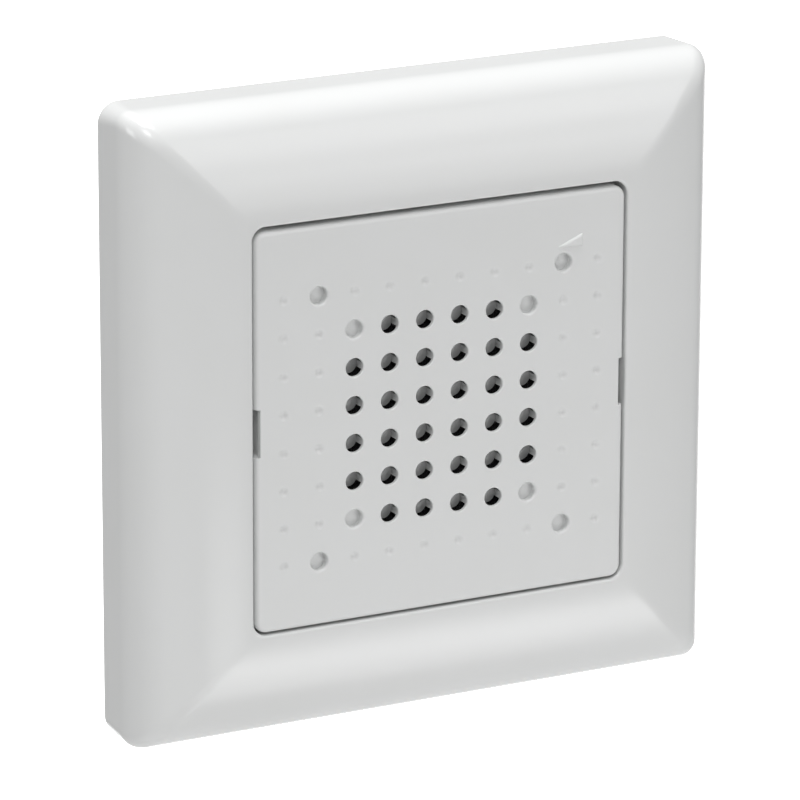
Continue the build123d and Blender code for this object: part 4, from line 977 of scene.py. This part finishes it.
# Soft lights, each turned to the object: name, azimuth from the front and elevation in degrees, distance and
# size, power in watts
LIGHTS = [
    ("above", 0, 88, 1.6, 1.0, 23.5),
    ("right_level", 30, 2, 1.6, 0.5, 1.3),
    ("right_low", 30, 15, 1.6, 0.5, 0.9),
    ("right_middle", 30, 27, 1.6, 0.4, 0.9),
    ("left_side", -90, 10, 1.6, 0.7, 6.2),
    ("below_right", 30, -40, 0.8, 0.3, 0.7),
    ("close_below", 5, -28, 0.3, 0.1, 0.06),
    ("close_below_right", 30, -35, 0.3, 0.1, 0.045),
    ("close_below_left", -25, -25, 0.3, 0.1, 0.01),
    ("behind", 180, 60, 1.1, 0.8, 1.5),
    ("left_high", -30, 45, 1.6, 0.4, 5.0),
]


def sheet_of_studio(name, corners, glow_strength):
    """One flat rectangle of the studio, pale, with a glow of its own where it stands for a lit paper."""
    mesh = bpy.data.meshes.new(name)
    mesh.from_pydata(corners, [], [(0, 1, 2, 3)])
    paint = finish_of(name + "_paper", PAPER, PAPER, 0.8, 0.05, 400, 60, 0.2)
    shader_of(paint).inputs["Emission Color"].default_value = (1.0, 1.0, 1.0, 1.0)
    shader_of(paint).inputs["Emission Strength"].default_value = glow_strength
    mesh.materials.append(paint)
    new_object(name, mesh)


def build_studio():
    """Pale floor far below the object, which hangs on a wall, and a lit paper behind it."""
    near, far = -FLOOR_HALF, FLOOR_HALF
    sheet_of_studio("floor", [(near, near, FLOOR_LEVEL), (far, near, FLOOR_LEVEL),
                              (far, far, FLOOR_LEVEL), (near, far, FLOOR_LEVEL)], FLOOR_GLOW)
    left, right = BACKDROP_SIDES
    sheet_of_studio("backdrop", [(left, BACKDROP_PLACE, FLOOR_LEVEL), (right, BACKDROP_PLACE, FLOOR_LEVEL),
                                 (right, BACKDROP_PLACE, BACKDROP_TOP),
                                 (left, BACKDROP_PLACE, BACKDROP_TOP)], BACKDROP_GLOW)


def toward(azimuth, elevation):
    """Direction from the object, by azimuth from the front and elevation in radians."""
    level = math.cos(elevation)
    return Vector((math.sin(azimuth) * level, -math.cos(azimuth) * level, math.sin(elevation)))


def place_lights():
    """Puts each light at its place, turned to the object."""
    for name, azimuth, elevation, distance, size, power in LIGHTS:
        lamp = bpy.data.lights.new(name, "AREA")
        lamp.shape, lamp.size, lamp.energy = "SQUARE", size, power
        lamp_object = new_object(name, lamp)
        spot = distance * toward(math.radians(azimuth), math.radians(elevation))
        lamp_object.location = spot
        lamp_object.rotation_euler = (-spot).to_track_quat("-Z", "Y").to_euler()


build_studio()
place_lights()
world = bpy.data.worlds.new("studio")
world.use_nodes = True
world.node_tree.nodes["Background"].inputs[0].default_value = (1.0, 1.0, 1.0, 1.0)
world.node_tree.nodes["Background"].inputs[1].default_value = WORLD_LIGHT
bpy.context.scene.world = world
bpy.context.scene.view_settings.view_transform = "Standard"

# Camera: fitted to the marks of the plate and to the frame's outline
AIM = Vector((-5.83, -12.8, 1.78)) * MM
AZIMUTH, ELEVATION, ROLL = math.radians(-27.603), math.radians(16.687), math.radians(0.176)
DISTANCE = 721.4 * MM
FOCAL_PIXELS = 5930.9
PHOTO_WIDTH = 800
SENSOR_WIDTH = 36.0
spot = AIM + DISTANCE * toward(AZIMUTH, ELEVATION)
forward = (AIM - spot).normalized()
right = forward.cross(Vector((0, 0, 1))).normalized()
above = right.cross(forward)
turned_right = right * math.cos(ROLL) + above * math.sin(ROLL)
turned_up = above * math.cos(ROLL) - right * math.sin(ROLL)
camera = bpy.data.cameras.new("camera")
camera.lens, camera.sensor_width = FOCAL_PIXELS / PHOTO_WIDTH * SENSOR_WIDTH, SENSOR_WIDTH
camera.clip_start, camera.clip_end = 0.01, 100.0
camera_object = new_object("camera", camera)
matrix = Matrix((turned_right, turned_up, -forward)).transposed().to_4x4()
matrix.translation = spot
camera_object.matrix_world = matrix
bpy.context.scene.camera = camera_object
